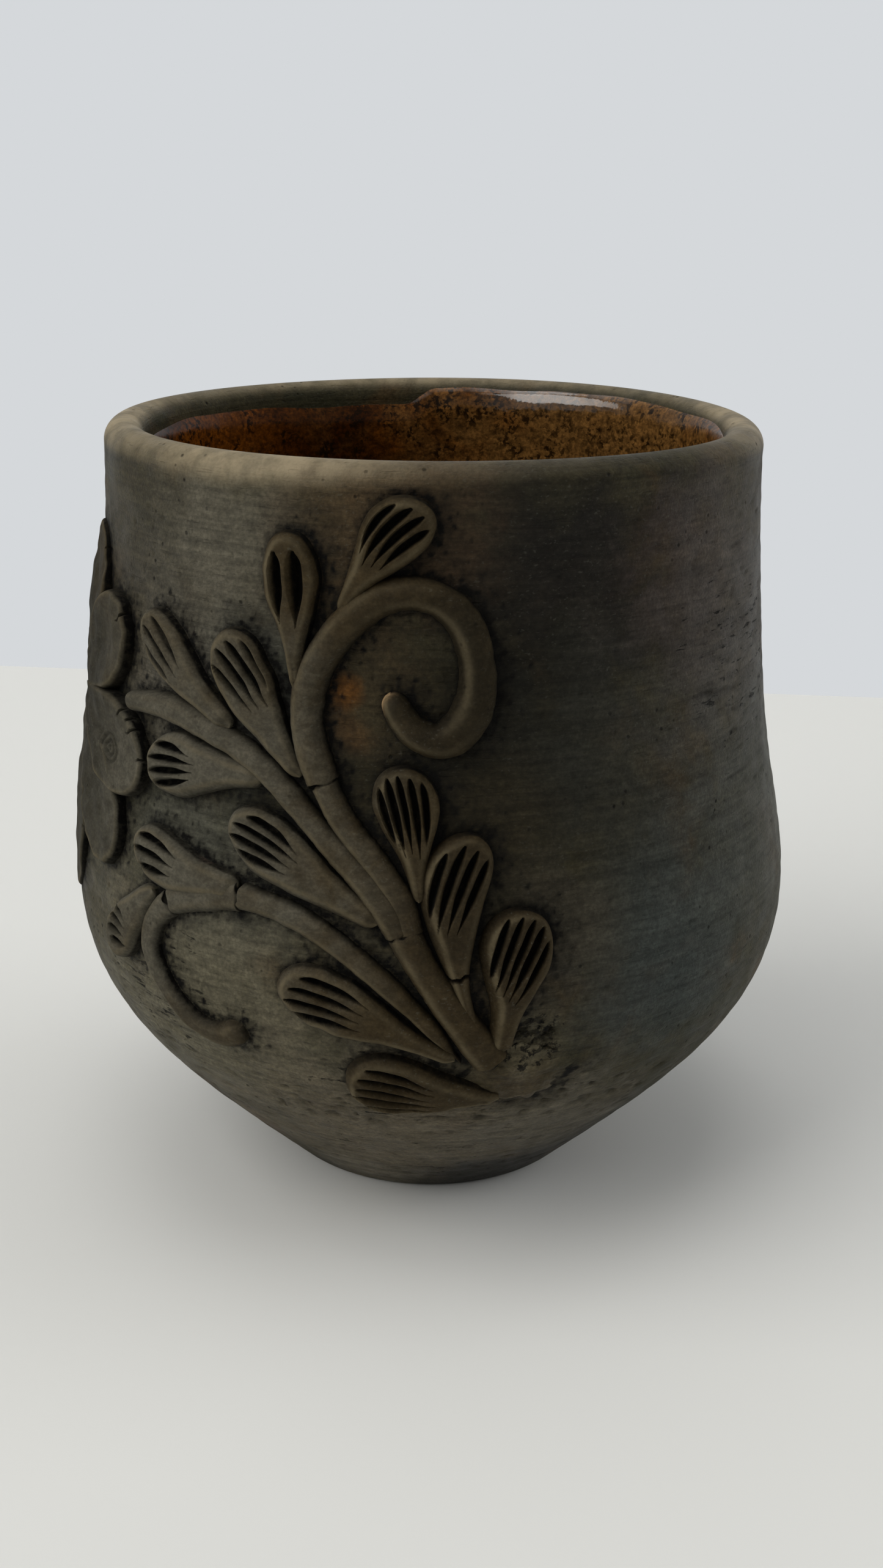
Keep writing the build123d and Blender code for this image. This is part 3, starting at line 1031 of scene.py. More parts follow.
@dataclass
class CupBody:
    """The thrown body: foot, wall, lip and inside as one closed skin."""

    front: tuple[float, float] = (-62.0, 28.0)
    front_columns: int = 290
    other_columns: int = 420
    foot_rows: int = 62
    wall_rows: int = 292
    lip_rows: int = 28
    inner_rows: int = 70
    base_rows: int = 14
    bend_rows: int = 14
    floor_rows: int = 12
    wall_start: float = 0.7
    close_rows_to: float = 24.0
    base_flat: float = 19.7
    base_corner: float = 20.5
    base_hollow: float = 0.25
    tip: float = 0.4
    floor_bend: tuple[float, float] = (4.0, 6.0)
    lip_waves: tuple[Wave, ...] = (Wave(0.108, 2, 0.0, 1.9), Wave(0.072, 3, 0.0, 0.3))
    scar_height: tuple[float, float] = (0.16, 0.32)
    scar_limit: float = 0.6
    scar_soot: float = 0.7
    scar_black: float = 0.34
    zones: tuple[PitZone, ...] = (
        PitZone((44.0, 100.0), (52.0, 93.0), 150, (0.8, 3.6), 0.20, 11),
        PitZone((-60.0, 75.0), (3.0, 27.0), 200, (0.5, 2.6), 0.22, 12),
        PitZone((-26.0, 40.0), (20.5, 26.0), 110, (0.4, 2.0), 0.34, 17, 0.3),
        PitZone((-58.0, -22.0), (26.0, 45.0), 90, (0.6, 2.2), 0.16, 13),
        PitZone((11.8, 17.6), (30.8, 37.0), 90, (0.4, 1.3), 0.30, 14, 0.9),
        PitZone((100.0, 300.0), (6.0, 92.0), 340, (0.8, 3.2), 0.16, 15),
        PitZone((-60.0, 60.0), (30.0, 92.0), 260, (0.3, 1.1), 0.20, 16),
    )
    rub_from: tuple[float, float] = (92.8, 98.7)
    rub_inside_rows: int = 4
    rub_all: float = 0.52
    # Weights by side of the lip, partly wear and partly painted light on the lit left and right ends
    rubs_and_light: tuple[LipRubAndLight, ...] = (
        LipRubAndLight(-31.0, 18.0, 0.58), LipRubAndLight(-85.0, 22.0, 0.46), LipRubAndLight(91.0, 22.0, 0.46),
        LipRubAndLight(-180.0, 45.0, 0.22), LipRubAndLight(180.0, 45.0, 0.22), LipRubAndLight(38.0, 22.0, -0.18),
    )
    # Noise, reach and crowding of the soot and painted shadow round the sprigs
    soot_and_shade_seeds: tuple[int, int] = (77, 78)
    soot_and_shade_waves: int = 24
    soot_and_shade_girth: float = 44.0
    soot_and_shadow_reach: float = 4.0
    soot_and_shade_between: float = 1.35
    halo_reach: float = 2.2
    halo_tear: float = 0.20
    line_tear: float = 0.38
    line_least: float = 0.35

    def turns(self) -> Array:
        """Spaces the columns, close together where the vine is.

        Returns:
            Turns of the columns, rising through one full turn.
        """
        first, last = (math.radians(angle) for angle in self.front)
        near = np.linspace(first, last, self.front_columns, endpoint=False)
        rest = np.linspace(last, first + FULL_TURN, self.other_columns, endpoint=False)
        return np.concatenate([near, rest])

    def base_line(self, form: CupForm) -> Array:
        """Draws the slightly hollow base and its rounded edge.

        Args:
            form: Form of the cup.

        Returns:
            Radius and height of each point, from the middle out.
        """
        radius = np.linspace(self.tip, self.base_flat, self.base_rows)
        flat = np.stack([radius, self.base_hollow * (1.0 - (radius / self.base_flat) ** 2)], axis=1)
        corner = np.array([self.base_corner, 0.0])
        stop = np.array([float(form.outline.at(self.wall_start)), self.wall_start])
        shares = np.array([0.2, 0.4, 0.6, 0.8])
        return np.concatenate([flat, bend_line(np.array([self.base_flat, 0.0]), corner, stop, shares)])

    def inner_line(self, form: CupForm) -> Array:
        """Draws the inside from the lip down to the middle of the floor.

        Args:
            form: Form of the cup.

        Returns:
            Radius and height of each point.
        """
        rise = np.linspace(form.lip_height, 1.0, 400)
        tilt = form.outline.slope(rise)
        stretch = np.sqrt(1.0 + tilt * tilt)
        radius = form.outline.at(rise) - form.wall / stretch
        height = rise + form.wall * tilt / stretch
        keep = height > form.floor + self.floor_bend[0]
        wall = np.stack([radius[keep], height[keep]], axis=1)
        corner = np.interp(form.floor, height[::-1], radius[::-1])
        flat_from = corner - self.floor_bend[1]
        knee, last = np.array([corner, form.floor]), np.array([flat_from, form.floor])
        bend = bend_line(wall[-1], knee, last, np.linspace(0.0, 1.0, self.bend_rows)[1:])
        flat = np.linspace(flat_from, self.tip, self.floor_rows)[1:]
        floor = np.stack([flat, np.full_like(flat, form.floor)], axis=1)
        way = run_along(wall)
        even = np.linspace(0.0, way[-1], self.inner_rows)
        wall = np.stack([np.interp(even, way, wall[:, k]) for k in (0, 1)], axis=1)
        return np.concatenate([wall, bend, floor])

    def scars(self, turn: Array, rise: Array, form: CupForm) -> Array:
        """Drags grit marks over the wall.

        Args:
            turn: Turns of the columns.
            rise: Heights of the rows.
            form: Form of the cup.

        Returns:
            Depth of the marks at each row and column.
        """
        depth = np.zeros((len(rise), len(turn)))
        for zone in self.zones:
            draw = np.random.default_rng(zone.seed)
            for _ in range(zone.count):
                spot = math.radians(draw.uniform(*zone.turns))
                level = draw.uniform(*zone.rises)
                long = draw.uniform(*zone.length) / 2.0
                tall = draw.uniform(*self.scar_height)
                deep = zone.deep * draw.uniform(0.2, 1.0)
                lean = draw.uniform(-zone.lean, zone.lean)
                radius = float(form.outline.at(level))
                off = (turn - spot + math.pi) % FULL_TURN - math.pi
                picked = np.nonzero(np.abs(off) * radius < 2.2 * long + 0.5)[0]
                rows = np.nonzero(np.abs(rise - level) < 3.0 * tall + 0.3 + abs(lean) * 2.0 * long)[0]
                x = off[picked] * radius
                y = rise[rows][:, None] - level - lean * x[None, :]
                depth[np.ix_(rows, picked)] += deep * bell(x, long)[None, :] * bell(y, tall)
        fade = ease(self.wall_start, 4.0, rise) * (1.0 - ease(90.0, 95.5, rise))
        return np.minimum(depth, self.scar_limit) * fade[:, None]

    def rub_and_light(self, turn: Array) -> Array:
        """Measures how much hands wore the lip at turns, with painted light and shade on its sides."""
        side = np.degrees((turn + math.pi) % FULL_TURN - math.pi)
        return self.rub_all + sum(rub_and_light.weight * bell(side - rub_and_light.azimuth, rub_and_light.spread) for rub_and_light in self.rubs_and_light)

    def build(self, form: CupForm, sprigs: list[Sprig]) -> PieceMesh:
        """Throws the body and darkens the wall round the sprigs with soot and painted shadow.

        Args:
            form: Form of the cup.
            sprigs: Pieces pressed on the wall, already built.

        Returns:
            The mesh of the body.
        """
        turn = self.turns()
        foot = np.linspace(self.wall_start, self.close_rows_to, self.foot_rows, endpoint=False)
        rise = np.concatenate([foot, np.linspace(self.close_rows_to, form.lip_height, self.wall_rows)])
        depth = self.scars(turn, rise, form)
        wall = form.place(turn[None, :], rise[:, None], -depth)
        base, inner = self.base_line(form), self.inner_line(form)
        lip = form.lip_arc(np.linspace(0.0, math.pi, self.lip_rows + 2)[1:-1])
        stray = form.uneven_lip(turn)
        crest = add_up(self.lip_waves, turn, np.zeros_like(turn))
        grid = np.concatenate([self.ring(turn, base, stray, crest, np.zeros(len(base))), wall,
                               self.ring(turn, lip, stray, crest, np.ones(len(lip))),
                               self.ring(turn, inner, stray, crest, form.lip_share(inner[:, 1]))])
        first, last = len(base), len(base) + len(rise)
        top, inside = last + self.lip_rows // 2, last + self.lip_rows + self.rub_inside_rows
        soot = np.zeros(grid.shape[:2])
        gritty = self.scar_soot * np.clip(depth / self.scar_black, 0.0, 1.0)
        soot[first:last] = np.maximum(self.darken_round_sprigs(wall, sprigs), gritty)
        high = np.zeros_like(soot)
        high[first:last] = ease(*self.rub_from, rise)[:, None]
        high[last:top] = ease(*self.rub_from, lip[:top - last, 1])[:, None]
        # The first rows inside the lip are painted as pale as the lip, painted light over the shade that
        # falls there
        high[top:inside] = 1.0 - 0.8 * ease(0.15, 0.80, np.linspace(0.0, 1.0, inside - top))[:, None]
        return PieceMesh(grid, {Shade.SOOT_AND_SHADE: soot, Shade.HIGH: high * self.rub_and_light(turn)[None, :]})

    @staticmethod
    def ring(turn: Array, line: Array, stray: Array, crest: Array, share: Array) -> Array:
        """Turns a line of points round the axis.

        Args:
            turn: Turns of the columns.
            line: Radius and height of each point.
            stray: Distance out at each column.
            crest: Distance up at each column, near the lip.
            share: How far each point takes part in both.

        Returns:
            Points by row and column.
        """
        radius = line[:, :1] + share[:, None] * stray[None, :]
        rise = line[:, 1:] + share[:, None] * crest[None, :] * ease(90.0, 97.0, line[:, 1:])
        return turned(radius, turn, rise)

    def darken_round_sprigs(self, wall: Array, sprigs: list[Sprig]) -> Array:
        """Measures the soot and painted shadow round each sprig, most on its proud side and between two of
        them.

        Args:
            wall: Points of the wall by row and column.
            sprigs: Pieces pressed on the wall.

        Returns:
            Soot and painted shadow at each point.
        """
        flat = wall.reshape(-1, 3)
        soot = np.zeros(len(flat))
        nearest = np.full(len(flat), np.inf)
        second = np.full(len(flat), np.inf)
        turn = np.arctan2(flat[:, 0], -flat[:, 1])
        around = turn * self.soot_and_shade_girth
        tear = Ripple(self.soot_and_shade_seeds[0], (0.7, 3.2), self.soot_and_shade_waves).at(around, flat[:, 2])
        jags = Ripple(self.soot_and_shade_seeds[1], (0.6, 2.0), self.soot_and_shade_waves).at(around, flat[:, 2])
        torn = 1.0 + self.halo_tear * tear
        jagged = np.maximum(1.0 + self.line_tear * jags, self.line_least)
        for sprig in sprigs:
            tree = KDTree(len(sprig.edge))
            for number, point in enumerate(sprig.edge.tolist()):
                tree.insert(point, number)
            tree.balance()
            low, high = sprig.edge.min(axis=0) - self.soot_and_shadow_reach, sprig.edge.max(axis=0) + self.soot_and_shadow_reach
            near = np.nonzero(((flat > low) & (flat < high)).all(axis=1))[0]
            found = np.array([tree.find(flat[number].tolist())[1:] for number in near.tolist()])
            gap = found[:, 1] * torn[near]
            away = flat[near] - sprig.edge[found[:, 0].astype(int)]
            right = away[:, 0] * np.cos(turn[near]) + away[:, 1] * np.sin(turn[near])
            facing = (right * PROUD_SIDE[0] + away[:, 2] * PROUD_SIDE[1]) / np.maximum(gap, 0.05)
            proud = np.clip(0.5 + 0.5 * facing, 0.0, 1.0)
            # A dark line at each edge and a wider halo, strongest on the proud side: soot and painted shadow
            line = (0.50 + 0.50 * proud) * np.exp(-(gap * jagged[near] / (0.40 + 0.70 * proud)) ** 3)
            halo = (0.05 + 0.74 * proud ** 1.4) * np.exp(-(gap / self.halo_reach) ** 1.3)
            soot[near] = np.maximum(soot[near], np.maximum(line, halo))
            second[near] = np.minimum(second[near], np.maximum(nearest[near], gap))
            nearest[near] = np.minimum(nearest[near], gap)
        # Dark where two sprigs come close: soot and painted shade between them
        soot = np.maximum(soot, np.exp(-(second / self.soot_and_shade_between) ** 3))
        return np.clip(soot, 0.0, 1.0).reshape(wall.shape[:2])


@dataclass
class GlazeLining:
    """The amber glaze poured round the inside, with a wandering rolled edge."""

    thick: float = 0.9
    soaked: float = 0.35
    roll: float = 1.4
    line: float = 95.8
    back: float = 1.2
    tilt: float = 0.90
    low_left: float = 2.0
    wander: float = 0.12
    lip_from: float = 0.60
    lip_rows: int = 12
    columns: int = 480
    rows: int = 110
    back_rows: int = 40
    crowding: float = 1.6
    crease: float = 70.0
    seed: int = 71

    def edge_heights(self, turn: Array) -> Array:
        """Draws the glaze line, higher at the back and the right, with a step down past the back.

        Args:
            turn: Turns of the columns.

        Returns:
            Height of the line at each column.
        """
        edge = self.line + self.tilt * np.sin(turn - 0.3) - self.back * np.cos(turn)
        edge = edge + self.wander * Ripple(self.seed, (0.5, 3.0)).round(turn)
        past_back = turn + math.pi
        return edge - self.low_left * ease(0.0, 0.12, past_back) * (1.0 - ease(0.25, 1.2, past_back))

    def sheet(self, form: CupForm, clay: Array, falls: Array, turn: Array, share: Array, skin: bool) -> Array:
        """Draws one side of the glaze.

        Args:
            form: Form of the cup.
            clay: Radius and height along the inside of the clay.
            falls: Way down from the lip to the glaze line at each column.
            turn: Turns of the columns.
            share: Shares of the way from the glaze line to the middle of the floor.
            skin: Whether this is the glossy side and not the side on the clay.

        Returns:
            Points by row and column.
        """
        way = run_along(clay)
        place = falls[None, :] + (way[-1] - falls)[None, :] * share[:, None]
        radius = np.interp(place, way, clay[:, 0])
        rise = np.interp(place, way, clay[:, 1])
        in_r = np.interp(place, way, np.gradient(clay[:, 1], way))
        in_z = np.interp(place, way, -np.gradient(clay[:, 0], way))
        size = np.hypot(in_r, in_z)
        run = place - falls[None, :]
        deep = self.thick * (1.0 - np.exp(-run / self.roll)) if skin else np.full_like(run, -self.soaked)
        radius = radius + deep * in_r / size + form.lip_share(rise) * form.uneven_lip(turn)[None, :]
        return turned(radius, turn, rise + deep * in_z / size)

    def build(self, form: CupForm, body: CupBody) -> PieceMesh:
        """Pours the glaze.

        Args:
            form: Form of the cup.
            body: The body it lines.

        Returns:
            The mesh of the lining.
        """
        turn = np.linspace(-math.pi, math.pi, self.columns + 1)[:-1]
        lip = form.lip_arc(np.linspace(self.lip_from * math.pi, math.pi, self.lip_rows, endpoint=False))
        clay = np.concatenate([lip, body.inner_line(form)])
        falls = np.interp(-self.edge_heights(turn), -clay[:, 1], run_along(clay))
        back = self.sheet(form, clay, falls, turn, np.linspace(1.0, 0.0, self.back_rows), False)
        skin = self.sheet(form, clay, falls, turn, np.linspace(0.0, 1.0, self.rows) ** self.crowding, True)
        return PieceMesh(np.concatenate([back, skin]), crease=self.crease)


class NodeBench:
    """Adds and wires nodes in one node tree."""

    def __init__(self, tree: NodeTree) -> None:
        """Opens a tree."""
        self.tree = tree

    def put(self, kind: str, inputs: dict | None = None, **settings: object) -> Node:
        """Adds a node.

        Args:
            kind: Node type.
            inputs: Sockets to wire, or constants to set, by input name or number.
            **settings: Properties of the node.

        Returns:
            The node.
        """
        node = self.tree.nodes.new(kind)
        for key, value in settings.items():
            setattr(node, key, value)
        for key, value in (inputs or {}).items():
            if isinstance(value, NodeSocket):
                self.tree.links.new(value, node.inputs[key])
            else:
                node.inputs[key].default_value = value
        return node

    def sum(self, operation: str, *terms: object) -> NodeSocket:
        """Adds a math node over sockets or constants and gives its value."""
        return self.put("ShaderNodeMath", dict(enumerate(terms)), operation=operation).outputs[0]

    def times(self, first: object, second: object) -> NodeSocket:
        """Multiplies two sockets or constants."""
        return self.sum("MULTIPLY", first, second)

    def mix(self, share: object, first: object, second: object, blend: str = "MIX") -> NodeSocket:
        """Mixes a share of a second colour into a first one."""
        node = self.put("ShaderNodeMix", {0: share, 6: first, 7: second}, data_type="RGBA", blend_type=blend)
        return node.outputs[2]

    def span(self, value: object, low: float, high: float, first: float = 0.0,
             last: float = 1.0) -> NodeSocket:
        """Maps the values from low to high smoothly on those from first to last."""
        inputs = {0: value, 1: low, 2: high, 3: first, 4: last}
        return self.put("ShaderNodeMapRange", inputs, interpolation_type="SMOOTHSTEP").outputs[0]

    def noise(self, place: object, scale: float, detail: float = 3.0, rough: float = 0.55,
              warp: float = 0.0) -> NodeSocket:
        """Adds a noise, with its waves for each millimetre, and gives its value."""
        inputs = {"Vector": place, "Scale": scale, "Detail": detail, "Roughness": rough, "Distortion": warp}
        return self.put("ShaderNodeTexNoise", inputs).outputs[0]

    def stretch(self, place: object, by: Triple) -> NodeSocket:
        """Scales a place by its three parts."""
        return self.put("ShaderNodeVectorMath", {0: place, 1: by}, operation="MULTIPLY").outputs[0]

    def grey(self, value: object) -> NodeSocket:
        """Turns a value into a grey."""
        return self.put("ShaderNodeCombineColor", {0: value, 1: value, 2: value}).outputs[0]

    def group(self, tree: NodeTree, **inputs: object) -> bpy_prop_collection:
        """Places a shared group and gives its outputs."""
        return self.put("ShaderNodeGroup", inputs, node_tree=tree).outputs


class SharedEffects:
    """Node groups of the effects that several finishes share."""

    def __init__(self) -> None:
        """Makes every group once."""
        self.mottle = self._mottle()
        self.mark = self._mark()
        self.streaks = self._streaks()
        self.grain = self._grain()
        self.grit = self._grit()
        self.soot = self._soot_and_shade()
        self.wear_and_highlight = self._wear_and_highlight()

    @staticmethod
    def _open(name: str, inputs: dict[str, Socket],
              outputs: dict[str, Socket]) -> tuple[NodeBench, bpy_prop_collection]:
        """Starts a group.

        Args:
            name: Name of the group.
            inputs: Kinds of sockets by input name.
            outputs: Kinds of sockets by output name.

        Returns:
            The bench, and the sockets that the group is given.
        """
        tree = bpy.data.node_groups.new(name, "ShaderNodeTree")
        for key, kind in inputs.items():
            tree.interface.new_socket(key, in_out="INPUT", socket_type=kind.value)
        for key, kind in outputs.items():
            tree.interface.new_socket(key, in_out="OUTPUT", socket_type=kind.value)
        bench = NodeBench(tree)
        return bench, bench.put("NodeGroupInput").outputs

    @staticmethod
    def _close(bench: NodeBench, **results: NodeSocket) -> NodeTree:
        """Wires the results of a group and gives the group."""
        bench.put("NodeGroupOutput", results)
        return bench.tree

    def _mottle(self) -> NodeTree:
        """Makes the clouds of ash, carbon and warm clay that a smoky fire leaves.

        Returns:
            The group.
        """
        inputs = {"Place": Socket.VECTOR, "Ash": Socket.COLOUR, "Carbon": Socket.COLOUR,
                  "Warm": Socket.COLOUR, "Contrast": Socket.VALUE, "Speckle": Socket.VALUE}
        bench, given = self._open("fire_mottle", inputs, {"Colour": Socket.COLOUR, "Speck": Socket.COLOUR})
        place = given["Place"]
        cloud = bench.span(bench.noise(place, 0.045, 5.0, 0.58, 0.8), 0.40, 0.66)
        cloud = bench.times(cloud, given["Contrast"])
        blush = bench.span(bench.noise(place, 0.075, 4.0, 0.6, 0.5), 0.50, 0.72)
        blush = bench.times(blush, given["Contrast"])
        colour = bench.mix(cloud, given["Ash"], given["Carbon"])
        colour = bench.mix(blush, colour, given["Warm"])
        level = bench.stretch(place, (0.65, 0.65, 1.35))
        speck = bench.span(bench.noise(level, 0.8, 6.0, 0.74), 0.28, 0.72, 0.50, 1.50)
        grit = bench.span(bench.noise(place, 2.4, 2.0, 0.6), 0.30, 0.70, 0.70, 1.30)
        speck = bench.sum("SUBTRACT", bench.times(speck, grit), 1.0)
        speck = bench.sum("ADD", 1.0, bench.times(speck, given["Speckle"]))
        return self._close(bench, Colour=colour, Speck=bench.grey(bench.sum("MAXIMUM", speck, 0.25)))

    def _mark(self) -> NodeTree:
        """Makes the soft uneven spot of one patch.

        Returns:
            The group.
        """
        inputs = {"Place": Socket.VECTOR, "Centre": Socket.VECTOR, "Radius": Socket.VALUE,
                  "Weight": Socket.VALUE}
        bench, given = self._open("torn_patch", inputs, {"Mask": Socket.VALUE})
        place = given["Place"]
        away = bench.put("ShaderNodeVectorMath", {0: place, 1: given["Centre"]}, operation="DISTANCE")
        share = bench.sum("DIVIDE", away.outputs["Value"], given["Radius"])
        torn = bench.sum("SUBTRACT", bench.noise(place, 0.16, 4.0, 0.6, 0.4), 0.5)
        ragged = bench.sum("ADD", share, bench.times(torn, 1.3))
        mask = bench.span(ragged, 0.25, 1.15, 1.0, 0.0)
        return self._close(bench, Mask=bench.times(mask, given["Weight"]))

    def _streaks(self) -> NodeTree:
        """Makes the level lines that a turning tool drags round the wall.

        Returns:
            The group.
        """
        outputs = {"Line": Socket.VALUE, "Height": Socket.VALUE}
        bench, given = self._open("turning_streaks", {"Place": Socket.VECTOR}, outputs)
        place = given["Place"]
        broad = bench.noise(bench.stretch(place, (0.02, 0.02, 0.55)), 1.0, 3.0, 0.6, 0.3)
        fine = bench.noise(bench.stretch(place, (0.06, 0.06, 2.2)), 1.0, 3.0, 0.6, 0.2)
        short = bench.noise(bench.stretch(place, (0.32, 0.32, 2.6)), 1.0, 3.0, 0.6, 0.2)
        line = bench.sum("ADD", bench.times(broad, 0.5), bench.times(fine, 0.5))
        scratch = bench.span(short, 0.60, 0.74)
        height = bench.sum("SUBTRACT", bench.times(line, 0.9), bench.times(scratch, 0.5))
        return self._close(bench, Line=line, Height=height)

    def _grain(self) -> NodeTree:
        """Makes the fine tooth of fired clay with its pinholes and pale flecks.

        Returns:
            The group.
        """
        inputs = {"Place": Socket.VECTOR, "Pits": Socket.VALUE}
        outputs = {"Height": Socket.VALUE, "Pit": Socket.VALUE, "Fleck": Socket.VALUE}
        bench, given = self._open("clay_grain", inputs, outputs)
        place = given["Place"]
        tooth = bench.noise(place, 3.2, 4.0, 0.6)
        cells = bench.put("ShaderNodeTexVoronoi", {"Vector": place, "Scale": 0.62, "Randomness": 1.0})
        patch = bench.span(bench.noise(place, 0.12, 3.0, 0.6), 0.48, 0.62)
        pit = bench.times(bench.span(cells.outputs["Distance"], 0.07, 0.19, 1.0, 0.0), patch)
        pit = bench.times(pit, given["Pits"])
        height = bench.sum("SUBTRACT", tooth, bench.times(pit, 1.4))
        fleck = bench.span(bench.noise(bench.stretch(place, (1.0, 1.0, 1.6)), 2.0, 2.0, 0.6), 0.60, 0.72)
        zone = bench.span(bench.noise(place, 0.07, 3.0, 0.6), 0.40, 0.65, 0.25, 1.0)
        return self._close(bench, Height=height, Pit=pit, Fleck=bench.times(fleck, zone))

    def _grit(self) -> NodeTree:
        """Makes the crumbled holes of grit that the turning tool dragged out of the wall.

        Returns:
            The group.
        """
        inputs = {"Place": Socket.VECTOR, "Mask": Socket.VALUE, "Drag": Socket.VALUE}
        bench, given = self._open("dragged_grit", inputs, {"Hole": Socket.VALUE})
        place = given["Place"]
        long = bench.noise(bench.stretch(place, (0.30, 0.30, 1.5)), 1.0, 5.0, 0.68, 0.3)
        crumb = bench.noise(place, 0.75, 6.0, 0.72, 0.4)
        torn = bench.put("ShaderNodeMix", {0: given["Drag"], 2: crumb, 3: long}).outputs[0]
        bar = bench.span(given["Mask"], 0.0, 1.0, 0.74, 0.50)
        return self._close(bench, Hole=bench.span(bench.sum("SUBTRACT", torn, bar), 0.0, 0.04))

    def _soot_and_shade(self) -> NodeTree:
        """Makes the soot and painted shade in corners and grooves.

        Returns:
            The group.
        """
        inputs = {"Place": Socket.VECTOR, "Colour": Socket.COLOUR, "Amount": Socket.VALUE,
                  "Soot": Socket.COLOUR}
        bench, given = self._open("soot_and_painted_shade", inputs, {"Colour": Socket.COLOUR, "Mask": Socket.VALUE})
        torn = bench.span(bench.noise(given["Place"], 1.1, 4.0, 0.66), 0.25, 0.75, 0.74, 1.30)
        mask = bench.put("ShaderNodeClamp", {0: bench.times(given["Amount"], torn)}).outputs[0]
        return self._close(bench, Colour=bench.mix(mask, given["Colour"], given["Soot"]), Mask=mask)

    def _wear_and_highlight(self) -> NodeTree:
        """Makes the paler colour of worn clay on whatever stands proud, which also paints the highlight on
        lit rims and lip sides.

        Returns:
            The group.
        """
        inputs = {"Place": Socket.VECTOR, "Colour": Socket.COLOUR, "High": Socket.VALUE,
                  "Rubbed": Socket.COLOUR, "Weight": Socket.VALUE}
        bench, given = self._open("wear_and_painted_highlight", inputs, {"Colour": Socket.COLOUR})
        top = bench.span(given["High"], 0.25, 1.0)
        torn = bench.span(bench.noise(given["Place"], 0.30, 4.0, 0.6), 0.30, 0.66, 0.45, 1.0)
        mask = bench.times(bench.times(top, torn), given["Weight"])
        return self._close(bench, Colour=bench.mix(mask, given["Colour"], given["Rubbed"]))


@dataclass(frozen=True)
class WallPatch:
    """A round patch of the wall with a torn edge."""

    azimuth: float
    rise: float
    radius: float
    weight: float


@dataclass(frozen=True)
class FireMarkOrPaintedLight(WallPatch):
    """A patch where the fire left a colour of its own, or where light or shade is painted."""

    tint: Colour


@dataclass(frozen=True)
class GritPatch(WallPatch):
    """A patch of wall that grit was dragged out of."""

    drag: float = 0.85


def empty_material(name: str) -> Material:
    """Starts a material with no nodes.

    Args:
        name: Name of the material.

    Returns:
        The material.
    """
    material = bpy.data.materials.new(name)
    material.use_nodes = True
    material.node_tree.nodes.clear()
    return material


class FinishBench(NodeBench):
    """The bench of one finish, which knows the places on the cup and the shared groups."""

    def __init__(self, name: str, effects: SharedEffects, form: CupForm) -> None:
        """Starts a finish.

        Args:
            name: Name of the material.
            effects: The shared groups.
            form: Form that places the patches.
        """
        self.material = empty_material(name)
        super().__init__(self.material.node_tree)
        self.effects = effects
        self.form = form
        spot = self.put("ShaderNodeTexCoord").outputs["Object"]
        self.place = self.stretch(spot, (1.0 / MM, 1.0 / MM, 1.0 / MM))

    def shade(self, shade: Shade) -> NodeSocket:
        """Reads a value kept on the vertices."""
        return self.put("ShaderNodeAttribute", attribute_name=shade.value).outputs["Fac"]

    def patch(self, patch: WallPatch, lift: float = 0.0) -> NodeSocket:
        """Masks a patch.

        Args:
            patch: The patch.
            lift: Distance of its middle out from the wall.

        Returns:
            The mask.
        """
        turn = math.radians(patch.azimuth)
        centre = self.form.place(np.array(turn), np.array(patch.rise), np.array(lift))
        spot = self.group(self.effects.mark, Place=self.place, Centre=tuple(centre.tolist()),
                          Radius=patch.radius, Weight=patch.weight)
        return spot["Mask"]

    def finish(self, surface: Node) -> Material:
        """Puts the surface out and gives the material."""
        self.put("ShaderNodeOutputMaterial", {"Surface": surface.outputs[0]})
        return self.material


